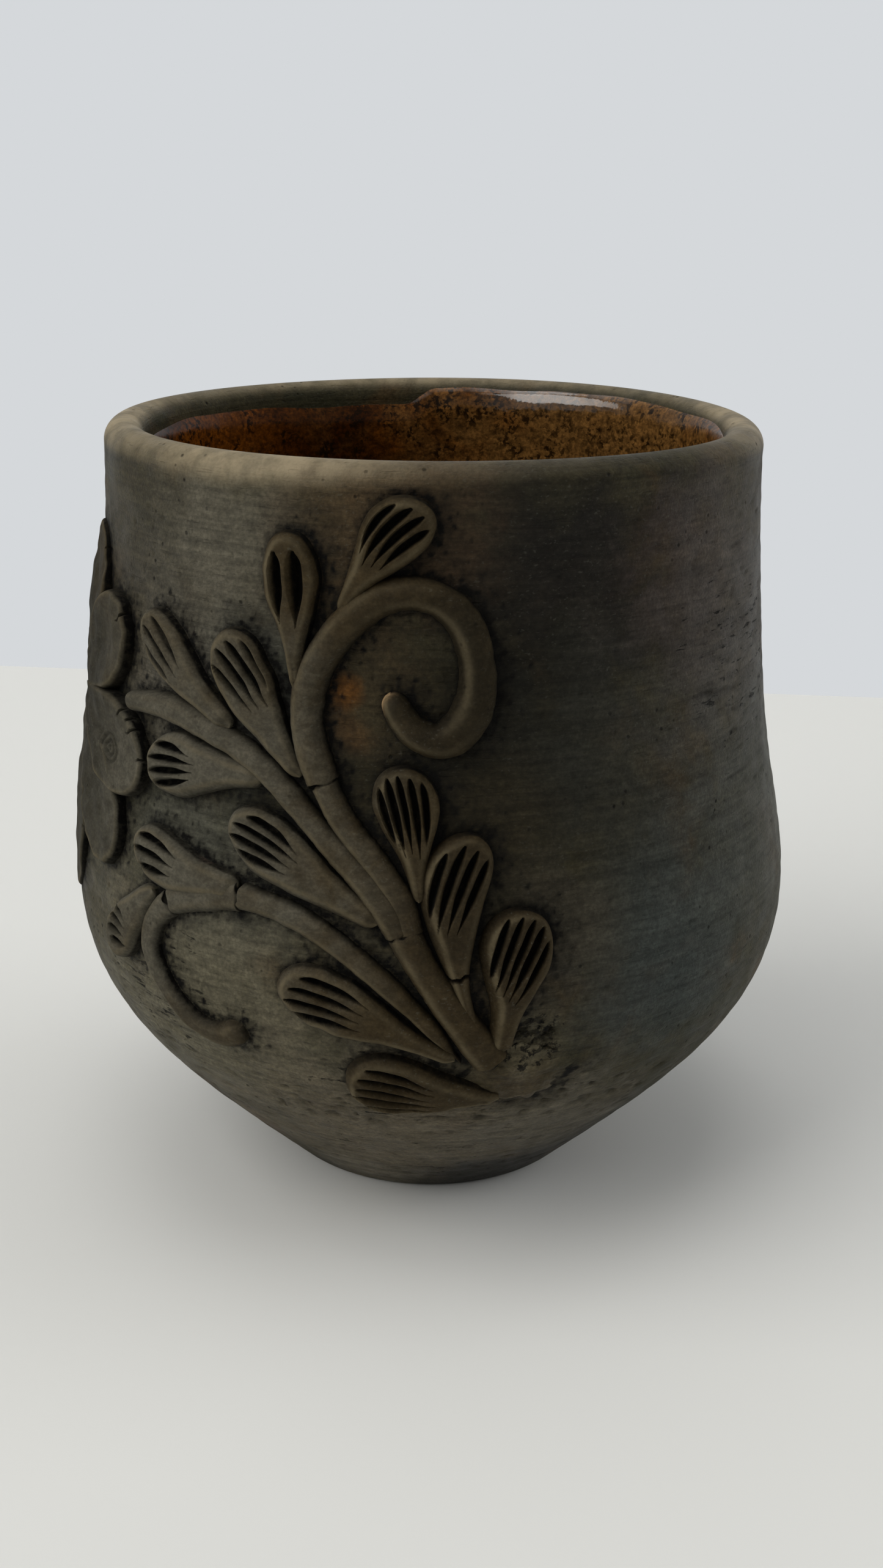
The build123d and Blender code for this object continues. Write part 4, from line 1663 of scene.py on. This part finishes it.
@dataclass(frozen=True)
class FiredClay:
    """Bare clay after a smoky fire."""

    name: str
    ash: Colour
    carbon: Colour
    warm: Colour
    # Paler colour of worn clay, also used as painted highlight on lit rims and the lit sides of the lip
    rubbed_and_lit: Colour
    # Colour of soot, which also paints the shade round the sprigs and in grooves, cracks and pits
    soot: Colour = paint(9, 8, 6)
    contrast: float = 0.8
    speckle: float = 1.0
    roughness: float = 0.54
    rough_spread: float = 0.08
    soot_rough: float = 0.2
    streak: float = 0.5
    streak_tone: float = 0.3
    streak_deep: float = 0.00025
    tooth: float = 0.35
    tooth_deep: float = 0.00012
    pits: float = 1.0
    pit_soot: float = 0.7
    hole_soot: float = 0.8
    hole_deep: float = 2.2
    # Weight of the wear and painted highlight
    wear_and_highlight: float = 0.4
    specular: float = 0.10
    fleck: Colour = paint(118, 118, 106)
    flecks: float = 0.14
    marks: tuple[FireMarkOrPaintedLight, ...] = ()
    scars: tuple[GritPatch, ...] = ()

    def _fired(self, bench: FinishBench, line: NodeSocket,
               fleck: NodeSocket) -> NodeSocket:
        """Mixes the colour that the fire left, with patches of painted light and shade.

        Args:
            bench: Bench of the finish.
            line: Streaks of the turning tool.
            fleck: Mask of the pale flecks.

        Returns:
            The colour.
        """
        clouds = bench.group(bench.effects.mottle, Place=bench.place, Ash=self.ash, Carbon=self.carbon,
                             Warm=self.warm, Contrast=self.contrast, Speckle=self.speckle)
        colour = clouds["Colour"]
        for mark in self.marks:
            colour = bench.mix(bench.patch(mark), colour, mark.tint)
        colour = bench.mix(1.0, colour, clouds["Speck"], "MULTIPLY")
        swing = self.streak_tone * self.streak
        tone = bench.grey(bench.span(line, 0.3, 0.7, 1.0 - swing, 1.0 + swing))
        colour = bench.mix(1.0, colour, tone, "MULTIPLY")
        return bench.mix(bench.times(fleck, self.flecks), colour, self.fleck)

    def make(self, effects: SharedEffects, form: CupForm) -> Material:
        """Makes the material.

        Args:
            effects: The shared groups.
            form: Form that places the fire marks.

        Returns:
            The material.
        """
        bench = FinishBench(self.name, effects, form)
        place = bench.place
        lines = bench.group(effects.streaks, Place=place)
        grain = bench.group(effects.grain, Place=place, Pits=self.pits)
        colour = self._fired(bench, lines["Line"], grain["Fleck"])
        rub_and_light = bench.group(effects.wear_and_highlight, Place=place, Colour=colour, High=bench.shade(Shade.HIGH),
                          Rubbed=self.rubbed_and_lit, Weight=self.wear_and_highlight)
        dark = bench.times(grain["Pit"], self.pit_soot)
        amount = bench.sum("MAXIMUM", bench.shade(Shade.SOOT_AND_SHADE), dark)
        height = grain["Height"]
        for scar in self.scars:
            hole = bench.group(effects.grit, Place=place, Mask=bench.patch(scar), Drag=scar.drag)["Hole"]
            amount = bench.sum("MAXIMUM", amount, bench.times(hole, self.hole_soot))
            height = bench.sum("SUBTRACT", height, bench.times(hole, self.hole_deep))
        dirt = bench.group(effects.soot, Place=place, Colour=rub_and_light["Colour"], Amount=amount, Soot=self.soot)
        rough = bench.span(bench.noise(place, 0.22, 4.0, 0.6), 0.3, 0.7,
                           self.roughness - self.rough_spread, self.roughness + self.rough_spread)
        rough = bench.sum("ADD", rough, bench.times(dirt["Mask"], self.soot_rough))
        tooth = bench.put("ShaderNodeBump", {"Strength": self.tooth, "Distance": self.tooth_deep,
                                             "Height": height})
        streaks = bench.put("ShaderNodeBump", {"Strength": self.streak, "Distance": self.streak_deep,
                                               "Height": lines["Height"], "Normal": tooth.outputs[0]})
        surface = bench.put("ShaderNodeBsdfPrincipled", {
            "Base Color": dirt["Colour"], "Roughness": rough, "Specular IOR Level": self.specular,
            "Normal": streaks.outputs[0]})
        return bench.finish(surface)


@dataclass(frozen=True)
class AmberGlaze:
    """Glossy amber glaze with dark iron freckles."""

    name: str = "amber_glaze"
    amber: Colour = paint(90, 48, 8)
    brown: Colour = paint(46, 20, 2)
    iron: Colour = paint(20, 11, 3)
    contrast: float = 0.8
    speckle: float = 1.0
    roughness: float = 0.20
    specular: float = 0.12
    coat_roughness: float = 0.08
    coat_ior: float = 1.75
    ripple: float = 0.25
    ripple_deep: float = 0.0004
    tan: FireMarkOrPaintedLight = FireMarkOrPaintedLight(135.0, 84.0, 44.0, 0.9, paint(102, 72, 36))
    wet: WallPatch = WallPatch(153.0, 95.0, 14.0, 1.0)

    def make(self, effects: SharedEffects, form: CupForm) -> Material:
        """Makes the material.

        Args:
            effects: The shared groups.
            form: Form that places the tan and the wet patch.

        Returns:
            The material.
        """
        bench = FinishBench(self.name, effects, form)
        place = bench.place
        clouds = bench.group(effects.mottle, Place=place, Ash=self.amber, Carbon=self.brown,
                             Warm=self.brown, Contrast=self.contrast, Speckle=self.speckle)
        fine = bench.span(bench.noise(place, 1.3, 4.0, 0.62, 0.3), 0.46, 0.58)
        broad = bench.span(bench.noise(place, 0.28, 3.0, 0.6, 0.3), 0.40, 0.62, 0.35, 0.95)
        colour = bench.mix(bench.patch(self.tan, -form.wall), clouds["Colour"], self.tan.tint)
        colour = bench.mix(1.0, colour, clouds["Speck"], "MULTIPLY")
        colour = bench.mix(bench.times(fine, broad), colour, self.iron)
        pool = bench.noise(place, 0.35, 3.0, 0.5)
        wavy = bench.put("ShaderNodeBump", {"Strength": self.ripple, "Distance": self.ripple_deep,
                                            "Height": pool})
        surface = bench.put("ShaderNodeBsdfPrincipled", {
            "Base Color": colour, "Roughness": self.roughness, "Specular IOR Level": self.specular,
            "Coat Weight": bench.patch(self.wet, -form.wall), "Coat Roughness": self.coat_roughness,
            "Coat IOR": self.coat_ior, "Normal": wavy.outputs[0], "Coat Normal": wavy.outputs[0]})
        return bench.finish(surface)


# Colours on the body, each over those before it: marks the fire left, and patches of painted light and shade
BODY_MARKS_AND_PAINTED_LIGHT = (
    # The next two: painted light and sheen on the lit left side
    FireMarkOrPaintedLight(-48.0, 80.0, 20.0, 0.70, paint(62, 57, 46)),
    FireMarkOrPaintedLight(-34.0, 89.0, 13.0, 0.70, paint(88, 84, 72)),
    FireMarkOrPaintedLight(-27.0, 72.0, 12.0, 0.60, paint(66, 69, 63)),
    FireMarkOrPaintedLight(-30.0, 50.0, 12.0, 0.65, paint(76, 77, 69)),
    # Painted shade darkening the front
    FireMarkOrPaintedLight(22.0, 84.0, 22.0, 0.90, paint(24, 22, 20)),
    # Painted sheen on the right side
    FireMarkOrPaintedLight(36.0, 44.0, 20.0, 0.70, paint(50, 57, 57)),
    # Painted shade darkening the front
    FireMarkOrPaintedLight(11.0, 66.0, 22.0, 0.90, paint(24, 22, 13)),
    FireMarkOrPaintedLight(-9.0, 75.0, 9.0, 0.75, paint(58, 49, 32)),
    # The next two: partly pale dust, partly painted light from the table on the lower body
    FireMarkOrPaintedLight(-36.0, 34.0, 27.0, 0.80, paint(91, 86, 70)),
    FireMarkOrPaintedLight(-4.0, 16.0, 26.0, 0.80, paint(90, 82, 67)),
    FireMarkOrPaintedLight(36.0, 9.0, 13.0, 0.60, paint(54, 53, 51)),
    # Painted shade darkening the right front
    FireMarkOrPaintedLight(32.0, 66.0, 18.0, 0.60, paint(45, 45, 39)),
    FireMarkOrPaintedLight(13.0, 29.5, 7.5, 0.80, paint(60, 50, 33)),
    # Painted shade darkening the right front
    FireMarkOrPaintedLight(46.0, 84.0, 14.0, 0.50, paint(62, 50, 43)),
    FireMarkOrPaintedLight(-8.0, 92.0, 14.0, 0.55, paint(70, 54, 36)),
    # The ochre spot beside the tip of the upper scroll, and the stain under it
    FireMarkOrPaintedLight(-12.7, 74.2, 2.6, 0.70, paint(104, 64, 16)),
    FireMarkOrPaintedLight(-12.2, 70.0, 3.0, 0.50, paint(84, 60, 32)),
    # More of the side that the photo shows
    FireMarkOrPaintedLight(17.0, 47.0, 12.0, 0.75, paint(58, 53, 42)),
    FireMarkOrPaintedLight(8.0, 60.0, 9.0, 0.60, paint(46, 40, 26)),
    FireMarkOrPaintedLight(14.4, 34.0, 5.5, 0.65, paint(86, 80, 62)),
    # The next two: painted sheen and light on the right side
    FireMarkOrPaintedLight(64.0, 78.0, 26.0, 0.70, paint(62, 58, 54)),
    FireMarkOrPaintedLight(62.0, 52.0, 22.0, 0.70, paint(59, 60, 54)),
    # The next two: painted light and sheen on the lit left side
    FireMarkOrPaintedLight(-42.0, 73.0, 12.0, 0.70, paint(88, 84, 73)),
    FireMarkOrPaintedLight(-41.0, 54.0, 10.0, 0.60, paint(74, 74, 65)),
    FireMarkOrPaintedLight(22.0, 17.0, 15.0, 0.70, paint(84, 79, 68)),
    FireMarkOrPaintedLight(16.0, 3.0, 13.0, 0.90, paint(40, 39, 36)),
    # Painted reflection of the table on the lower left of the foot
    FireMarkOrPaintedLight(-18.0, 4.0, 9.0, 0.60, paint(104, 98, 84)),
    # The side that the photo doesn't show
    FireMarkOrPaintedLight(112.0, 46.0, 30.0, 0.55, paint(66, 60, 44)),
    FireMarkOrPaintedLight(150.0, 74.0, 28.0, 0.60, paint(50, 50, 44)),
    FireMarkOrPaintedLight(205.0, 60.0, 34.0, 0.50, paint(72, 66, 50)),
    FireMarkOrPaintedLight(245.0, 36.0, 26.0, 0.50, paint(58, 50, 34)),
)

BODY_SCARS = (
    GritPatch(14.6, 34.0, 6.0, 1.0, 0.0),
    GritPatch(20.0, 27.0, 3.0, 0.9, 0.3),
    GritPatch(60.0, 74.0, 24.0, 0.62),
    GritPatch(0.0, 18.0, 36.0, 0.50),
    GritPatch(-46.0, 34.0, 20.0, 0.66),
    GritPatch(-8.0, 27.0, 12.0, 0.7),
    GritPatch(180.0, 50.0, 60.0, 0.5),
)

VINE_MARKS_AND_PAINTED_LIGHT = (
    # Partly the clay's own lighter tone, partly painted light on the lit left side
    FireMarkOrPaintedLight(-46.0, 56.0, 34.0, 0.90, paint(78, 75, 65)),
    FireMarkOrPaintedLight(-80.0, 66.0, 24.0, 1.00, paint(42, 40, 33)),
    # Partly the clay's own darker tone, partly painted shade on the right of the upper scroll
    FireMarkOrPaintedLight(4.0, 76.0, 15.0, 0.85, paint(30, 26, 17)),
    FireMarkOrPaintedLight(12.0, 50.0, 16.0, 0.85, paint(41, 34, 22)),
    FireMarkOrPaintedLight(-70.0, 46.0, 16.0, 0.80, paint(44, 42, 34)),
    # The worn tip of the upper scroll, pale with a painted highlight, and a chip on a leaf
    FireMarkOrPaintedLight(-6.8, 73.6, 1.9, 0.85, paint(168, 140, 104)),
    FireMarkOrPaintedLight(-34.0, 53.6, 1.6, 0.75, paint(150, 128, 112)),
)


@dataclass(frozen=True)
class Palette:
    """Every finish of the cup, made once."""

    body: FiredClay = FiredClay(
        "smoked_body", paint(54, 49, 33), paint(44, 42, 28), paint(62, 49, 29), paint(154, 140, 113),
        contrast=1.0, speckle=0.6, streak=0.8, tooth=0.8, wear_and_highlight=0.90, marks=BODY_MARKS_AND_PAINTED_LIGHT, scars=BODY_SCARS)
    vine: FiredClay = FiredClay(
        "smoked_vine", paint(54, 45, 29), paint(46, 39, 26), paint(57, 46, 28), paint(104, 94, 72),
        contrast=0.5, speckle=0.55, roughness=0.76, streak=0.12, tooth=0.45, pits=0.6, wear_and_highlight=0.6,
        specular=0.08, flecks=0.16, marks=VINE_MARKS_AND_PAINTED_LIGHT)
    glaze: AmberGlaze = AmberGlaze()

    def make(self, form: CupForm) -> dict[Slot, Material]:
        """Makes the finishes.

        Args:
            form: Form that places the fire marks.

        Returns:
            The material of each slot.
        """
        effects = SharedEffects()
        finishes = {Slot.BODY: self.body, Slot.VINE: self.vine, Slot.GLAZE: self.glaze}
        return {slot: finish.make(effects, form) for slot, finish in finishes.items()}


@dataclass
class Vine:
    """The vine and flower: every sprig, in the order it is built."""

    stems: list[Stem] = field(default_factory=lambda: [
        Stem("trunk_stem", ((-3.6, 0.4865), (-1.4, 0.453), (1.3, 0.418), (5.0, 0.372), (8.4, 0.331)),
             (3.8, 3.8, 3.8, 4.0, 4.3), 2.0, seed=21),
        Stem("flower_stem", ((-55.0, 0.692), (-44.0, 0.702), (-36.0, 0.692), (-25.5, 0.660),
                             (-17.9, 0.609), (-12.0, 0.564), (-7.5, 0.527), (-4.3, 0.4845)),
             (2.8, 3.2, 3.3, 3.2, 3.0, 3.2, 3.4, 2.8), 1.88, End.ROUND, seed=22),
        Stem("scroll_stalk", ((-15.5, 0.6485), (-13.0, 0.613), (-8.1, 0.566), (-4.7, 0.528),
                              (-2.7, 0.4865)),
             (3.5, 3.2, 3.2, 3.4, 2.9), 1.92, seed=23),
        Stem("upper_scroll", ((-15.7, 0.650), (-18.4, 0.713), (-17.7, 0.768), (-13.2, 0.824),
                              (-7.6, 0.858), (-1.7, 0.864), (3.5, 0.843), (6.4, 0.787),
                              (5.2, 0.728), (1.5, 0.704), (-2.5, 0.713), (-6.1, 0.756)),
             (3.6, 3.9, 3.9, 3.9, 3.9, 3.9, 4.0, 4.1, 4.3, 4.3, 3.7, 2.9), 2.2,
             last_end=End.ROUND, flat=0.0, seed=24),
        Stem("lower_stem", ((-27.5, 0.508), (-20.5, 0.499), (-11.4, 0.462), (-4.5, 0.416),
                            (1.4, 0.363), (4.2, 0.331)),
             (3.3, 3.1, 2.8, 2.5, 1.9, 1.0), 1.65, last_end=End.TAPER, seed=25),
        Stem("lower_stem_end", ((-27.8, 0.507), (-33.0, 0.500), (-40.1, 0.480)),
             (3.5, 4.0, 3.6), 1.5, seed=26),
        Stem("lower_scroll", ((-40.5, 0.476), (-44.0, 0.440), (-44.2, 0.410), (-42.0, 0.378),
                              (-38.3, 0.346), (-33.2, 0.327), (-29.8, 0.330), (-27.6, 0.346)),
             (3.4, 3.3, 3.1, 2.9, 2.8, 2.9, 3.3, 3.5), 1.35, last_end=End.ROUND, seed=27),
    ])
    leaves: list[Leaf] = field(default_factory=lambda: [
        Leaf("leaf_top_right", 7.2, 1.5, waist_share=0.54, bow=0.8, tail=(-13.6, 0.841),
             head=(-1.0, 0.962), sway=0.09, seed=1),
        Leaf("leaf_top_left", 7.0, 1.3, tail=(-20.0, 0.750), head=(-22.0, 0.926), grooves=2,
             groove_half=0.74, far=0.90, spread_near=0.50, spread_far=0.62, groove_deep=1.8, seed=2),
        Leaf("leaf_left_middle", 7.8, 1.8, waist_share=0.62, bow=0.4, tail=(-19.2, 0.654),
             head=(-33.2, 0.806), groove_half=0.48, near=0.46, sway=-0.05, lean=-9.0, offset=-0.8, seed=3),
        Leaf("leaf_left_upper", 6.8, 2.8, waist_share=0.64, bow=0.4, tail=(-31.0, 0.698),
             head=(-50.4, 0.804), grooves=3, groove_half=0.50, near=0.48, groove_deep=0.80, seed=4),
        Leaf("leaf_under_stem", 7.6, 2.4, waist_share=0.66, bow=-0.5, tail=(-25.4, 0.646),
             head=(-48.0, 0.630), near=0.50, seed=5),
        Leaf("leaf_centre_left", 7.6, 2.2, waist_share=0.64, bow=-0.2, tail=(-7.2, 0.497),
             head=(-30.3, 0.597), near=0.52, sway=-0.05, lean=-7.0, seed=6),
        Leaf("leaf_lower_left", 6.8, 3.0, waist_share=0.72, bow=0.8, tail=(-28.0, 0.516),
             head=(-49.2, 0.536), grooves=3, near=0.50, sway=-0.08, lean=-6.0, seed=7),
        Leaf("leaf_far_left", 6.2, 2.4, waist_share=0.75, bow=-0.5, tail=(-44.0, 0.484),
             head=(-53.0, 0.386), near=0.50, far=0.78, spread_near=0.7, lean=64.0, seed=8),
        Leaf("leaf_right_first", 7.4, 1.2, bow=-0.3, tail=(-1.6, 0.523), head=(-5.0, 0.674),
             grooves=5, groove_half=0.44, near=0.36, far=0.94, seed=9),
        Leaf("leaf_right_second", 8.2, 1.2, waist_at=0.42, waist_share=0.46, shoulder_at=0.79, bow=2.0,
             tail=(6.2, 0.371), head=(4.7, 0.600), near=0.52, far=0.95, lean=13.0, snap=0.30, seed=10),
        Leaf("leaf_right_third", 8.3, 2.8, tail=(9.4, 0.344), head=(12.6, 0.513), grooves=5,
             groove_half=0.49, near=0.40, far=0.95, lean=15.0, seed=11),
        Leaf("leaf_low_first", 7.6, 1.6, waist_share=0.52, bow=-0.6, tail=(3.4, 0.336),
             head=(-21.2, 0.422), near=0.50, sway=-0.04, lean=-8.0, seed=12),
        Leaf("leaf_low_second", 9.0, 0.9, waist_share=0.62, tail=(10.2, 0.275), head=(-12.2, 0.301),
             grooves=5, near=0.44, seed=13),
    ])
    petal_order: tuple[tuple[str, float, float], ...] = (
        ("petal_front", 108.0, 20.0), ("petal_front_upper", 48.0, 17.2), ("petal_front_lower", 141.0, 22.5),
        ("petal_top", 2.0, 19.5), ("petal_bottom", 181.0, 26.0), ("petal_back_upper", 316.0, 19.5),
        ("petal_back_lower", 232.0, 22.0), ("petal_back", 274.0, 21.0),
    )
    petal_relief: float = 2.1
    petal_step: float = 0.14
    petal_droop: float = -0.4
    steep_petals: tuple[str, ...] = ("petal_top", "petal_bottom")
    steep_droop: float = -1.1
    printed_petal: str = "petal_front"
    print_place: Place = (0.60, -0.06)
    petal_seed: int = 40

    def petals(self) -> list[Petal]:
        """Stacks the petals, the first on top of those after it.

        Returns:
            The petals.
        """
        stack = []
        for number, (name, heading, length) in enumerate(self.petal_order):
            printed = name == self.printed_petal
            stack.append(Petal(
                name, relief=self.petal_relief - self.petal_step * number, heading=heading, length=length,
                lifted=self.steep_droop if name in self.steep_petals else self.petal_droop,
                cracks=4 if printed else 1, print_at=self.print_place if printed else None,
                seed=self.petal_seed + number))
        return stack

    def build(self, form: CupForm, finishes: dict[Slot, Material]) -> list[Sprig]:
        """Presses every sprig on the cup.

        Args:
            form: Form of the cup.
            finishes: The material of each slot.

        Returns:
            The sprigs, with their edges measured.
        """
        pad = SlipPad("slip_pad")
        pad.build(form).write(pad.name, Slot.BODY, finishes[Slot.BODY])
        sprigs: list[Sprig] = [pad]
        for sprig in [*self.stems, *self.leaves, *self.petals()]:
            sprig.build(form).write(sprig.name, Slot.VINE, finishes[Slot.VINE])
            sprigs.append(sprig)
        return sprigs


@dataclass(frozen=True)
class Lamp:
    """A soft square light, with its place and side in metres and its power in watts."""

    name: str
    place: Triple
    side: float
    power: float
    tint: Triple
    shine: bool = True

    def hang(self, target: Vector) -> None:
        """Hangs the light so that it faces a target.

        Args:
            target: Point it faces, in metres.
        """
        light = bpy.data.lights.new(self.name, "AREA")
        light.shape = "SQUARE"
        light.size = self.side
        light.energy = self.power
        light.color = self.tint
        item = bpy.data.objects.new(self.name, light)
        item.visible_glossy = self.shine
        spot = Vector(self.place)
        aim = (target - spot).to_track_quat("-Z", "Y").to_matrix().to_4x4()
        item.matrix_world = Matrix.Translation(spot) @ aim
        bpy.context.scene.collection.objects.link(item)


@dataclass(frozen=True)
class PhotoCamera:
    """The camera that fits the photo: its eye in metres, its angles in degrees and its lens."""

    eye: Triple = (0.0, -0.225, 0.1281)
    pitch: float = 19.3
    yaw: float = 0.33
    roll: float = 0.538
    focal: float = 40.686
    sensor: float = 36.0
    nearest: float = 0.01

    def stand(self) -> None:
        """Stands the camera where the photo was taken from."""
        pitch, yaw, roll = (math.radians(angle) for angle in (self.pitch, self.yaw, self.roll))
        ahead = Vector((math.sin(yaw) * math.cos(pitch), math.cos(yaw) * math.cos(pitch), -math.sin(pitch)))
        level = Vector((math.cos(yaw), -math.sin(yaw), 0.0))
        over = level.cross(ahead)
        right = level * math.cos(roll) + over * math.sin(roll)
        up = over * math.cos(roll) - level * math.sin(roll)
        lens = bpy.data.cameras.new("photo_camera")
        lens.sensor_fit = "VERTICAL"
        lens.sensor_height = self.sensor
        lens.lens = self.focal
        lens.clip_start = self.nearest
        item = bpy.data.objects.new("photo_camera", lens)
        turn = Matrix((right, up, -ahead)).transposed().to_4x4()
        item.matrix_world = Matrix.Translation(Vector(self.eye)) @ turn
        bpy.context.scene.collection.objects.link(item)
        bpy.context.scene.camera = item


@dataclass
class Studio:
    """A plain table before a pale wall, soft light from the left, and the camera of the photo."""

    table: Colour = (0.75, 0.75, 0.722, 1.0)
    table_roughness: float = 0.85
    table_half: float = 1.5
    table_edge: float = 222.0
    edge_turn: float = -5.9
    backdrop: Colour = paint(213, 216, 219)
    wall_at: float = 1.1
    wall_half: float = 4.0
    wall_rises: tuple[float, float] = (-3.0, 4.0)
    air: float = 0.255
    target: Triple = (0.0, 0.0, 0.05)
    lamps: tuple[Lamp, ...] = (
        Lamp("window", (-1.18, -0.56, 1.12), 1.45, 18.8, (1.0, 0.99, 0.965)),
        Lamp("ceiling", (-0.15, 0.05, 1.60), 1.20, 6.8, (1.0, 0.995, 0.98)),
        Lamp("bounce", (1.35, 0.22, 0.45), 1.00, 9.5, (0.98, 0.99, 1.0), False),
    )
    camera: PhotoCamera = PhotoCamera()

    def build(self) -> None:
        """Sets up the table, the wall, the light and the camera."""
        half, deep = self.table_half, 2.0 * self.table_half
        stand = Matrix.Translation(Vector((0.0, self.table_edge * MM, 0.0)))
        stand = stand @ Matrix.Rotation(math.radians(self.edge_turn), 4, "Z")
        top = [(-half, -deep, 0.0), (half, -deep, 0.0), (half, 0.0, 0.0), (-half, 0.0, 0.0)]
        self._sheet("studio_table", stand, top, self._table_paint())
        side, (low, high) = self.wall_half, self.wall_rises
        corners = [(-side, low), (side, low), (side, high), (-side, high)]
        wall = [(across, self.wall_at, rise) for across, rise in corners]
        self._sheet("studio_wall", Matrix.Identity(4), wall, self._wall_paint())
        for lamp in self.lamps:
            lamp.hang(Vector(self.target))
        world = bpy.data.worlds.new("studio_air")
        world.use_nodes = True
        world.node_tree.nodes["Background"].inputs[0].default_value = (1.0, 1.0, 1.0, 1.0)
        world.node_tree.nodes["Background"].inputs[1].default_value = self.air
        bpy.context.scene.world = world
        self.camera.stand()
        bpy.context.scene.view_settings.view_transform = "Standard"

    def _table_paint(self) -> Material:
        """Makes the plain matt paint of the table.

        Returns:
            The material.
        """
        material = bpy.data.materials.new("table_paint")
        material.use_nodes = True
        surface = material.node_tree.nodes["Principled BSDF"]
        surface.inputs["Base Color"].default_value = self.table
        surface.inputs["Roughness"].default_value = self.table_roughness
        return material

    def _wall_paint(self) -> Material:
        """Makes a wall paint that keeps its plain colour for the eye and in reflections.

        Returns:
            The material.
        """
        material = empty_material("wall_paint")
        bench = NodeBench(material.node_tree)
        rays = bench.put("ShaderNodeLightPath").outputs
        seen = bench.sum("MAXIMUM", rays["Is Camera Ray"], rays["Is Glossy Ray"])
        seen = bench.sum("MAXIMUM", seen, rays["Is Transmission Ray"])
        matt = bench.put("ShaderNodeBsdfDiffuse", {"Color": self.backdrop})
        glow = bench.put("ShaderNodeEmission", {"Color": self.backdrop, "Strength": 1.0})
        both = bench.put("ShaderNodeMixShader", {0: seen, 1: matt.outputs[0], 2: glow.outputs[0]})
        bench.put("ShaderNodeOutputMaterial", {"Surface": both.outputs[0]})
        return material

    @staticmethod
    def _sheet(name: str, stand: Matrix, corners: list[Triple], material: Material) -> None:
        """Stands one plain sheet of the stage.

        Args:
            name: Name of the sheet.
            stand: Where it stands.
            corners: Its four corners, in metres.
            material: Its paint.
        """
        mesh = bpy.data.meshes.new(name)
        mesh.from_pydata(corners, [], [(0, 1, 2, 3)])
        mesh.materials.append(material)
        sheet = bpy.data.objects.new(name, mesh)
        sheet.matrix_world = stand
        bpy.context.scene.collection.objects.link(sheet)


def main() -> None:
    """Builds the cup piece by piece and sets up the studio."""
    logging.basicConfig(level=logging.INFO, format="%(message)s")
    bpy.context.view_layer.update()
    form = CupForm()
    finishes = Palette().make(form)
    LOG.info("finishes made")
    sprigs = Vine().build(form, finishes)
    LOG.info("vine pressed on")
    body = CupBody()
    body.build(form, sprigs).write("cup_body", Slot.BODY, finishes[Slot.BODY])
    LOG.info("body thrown")
    GlazeLining().build(form, body).write("glaze_lining", Slot.GLAZE, finishes[Slot.GLAZE])
    LOG.info("glaze poured")
    Studio().build()
    LOG.info("studio set")


if __name__ == "__main__":
    main()
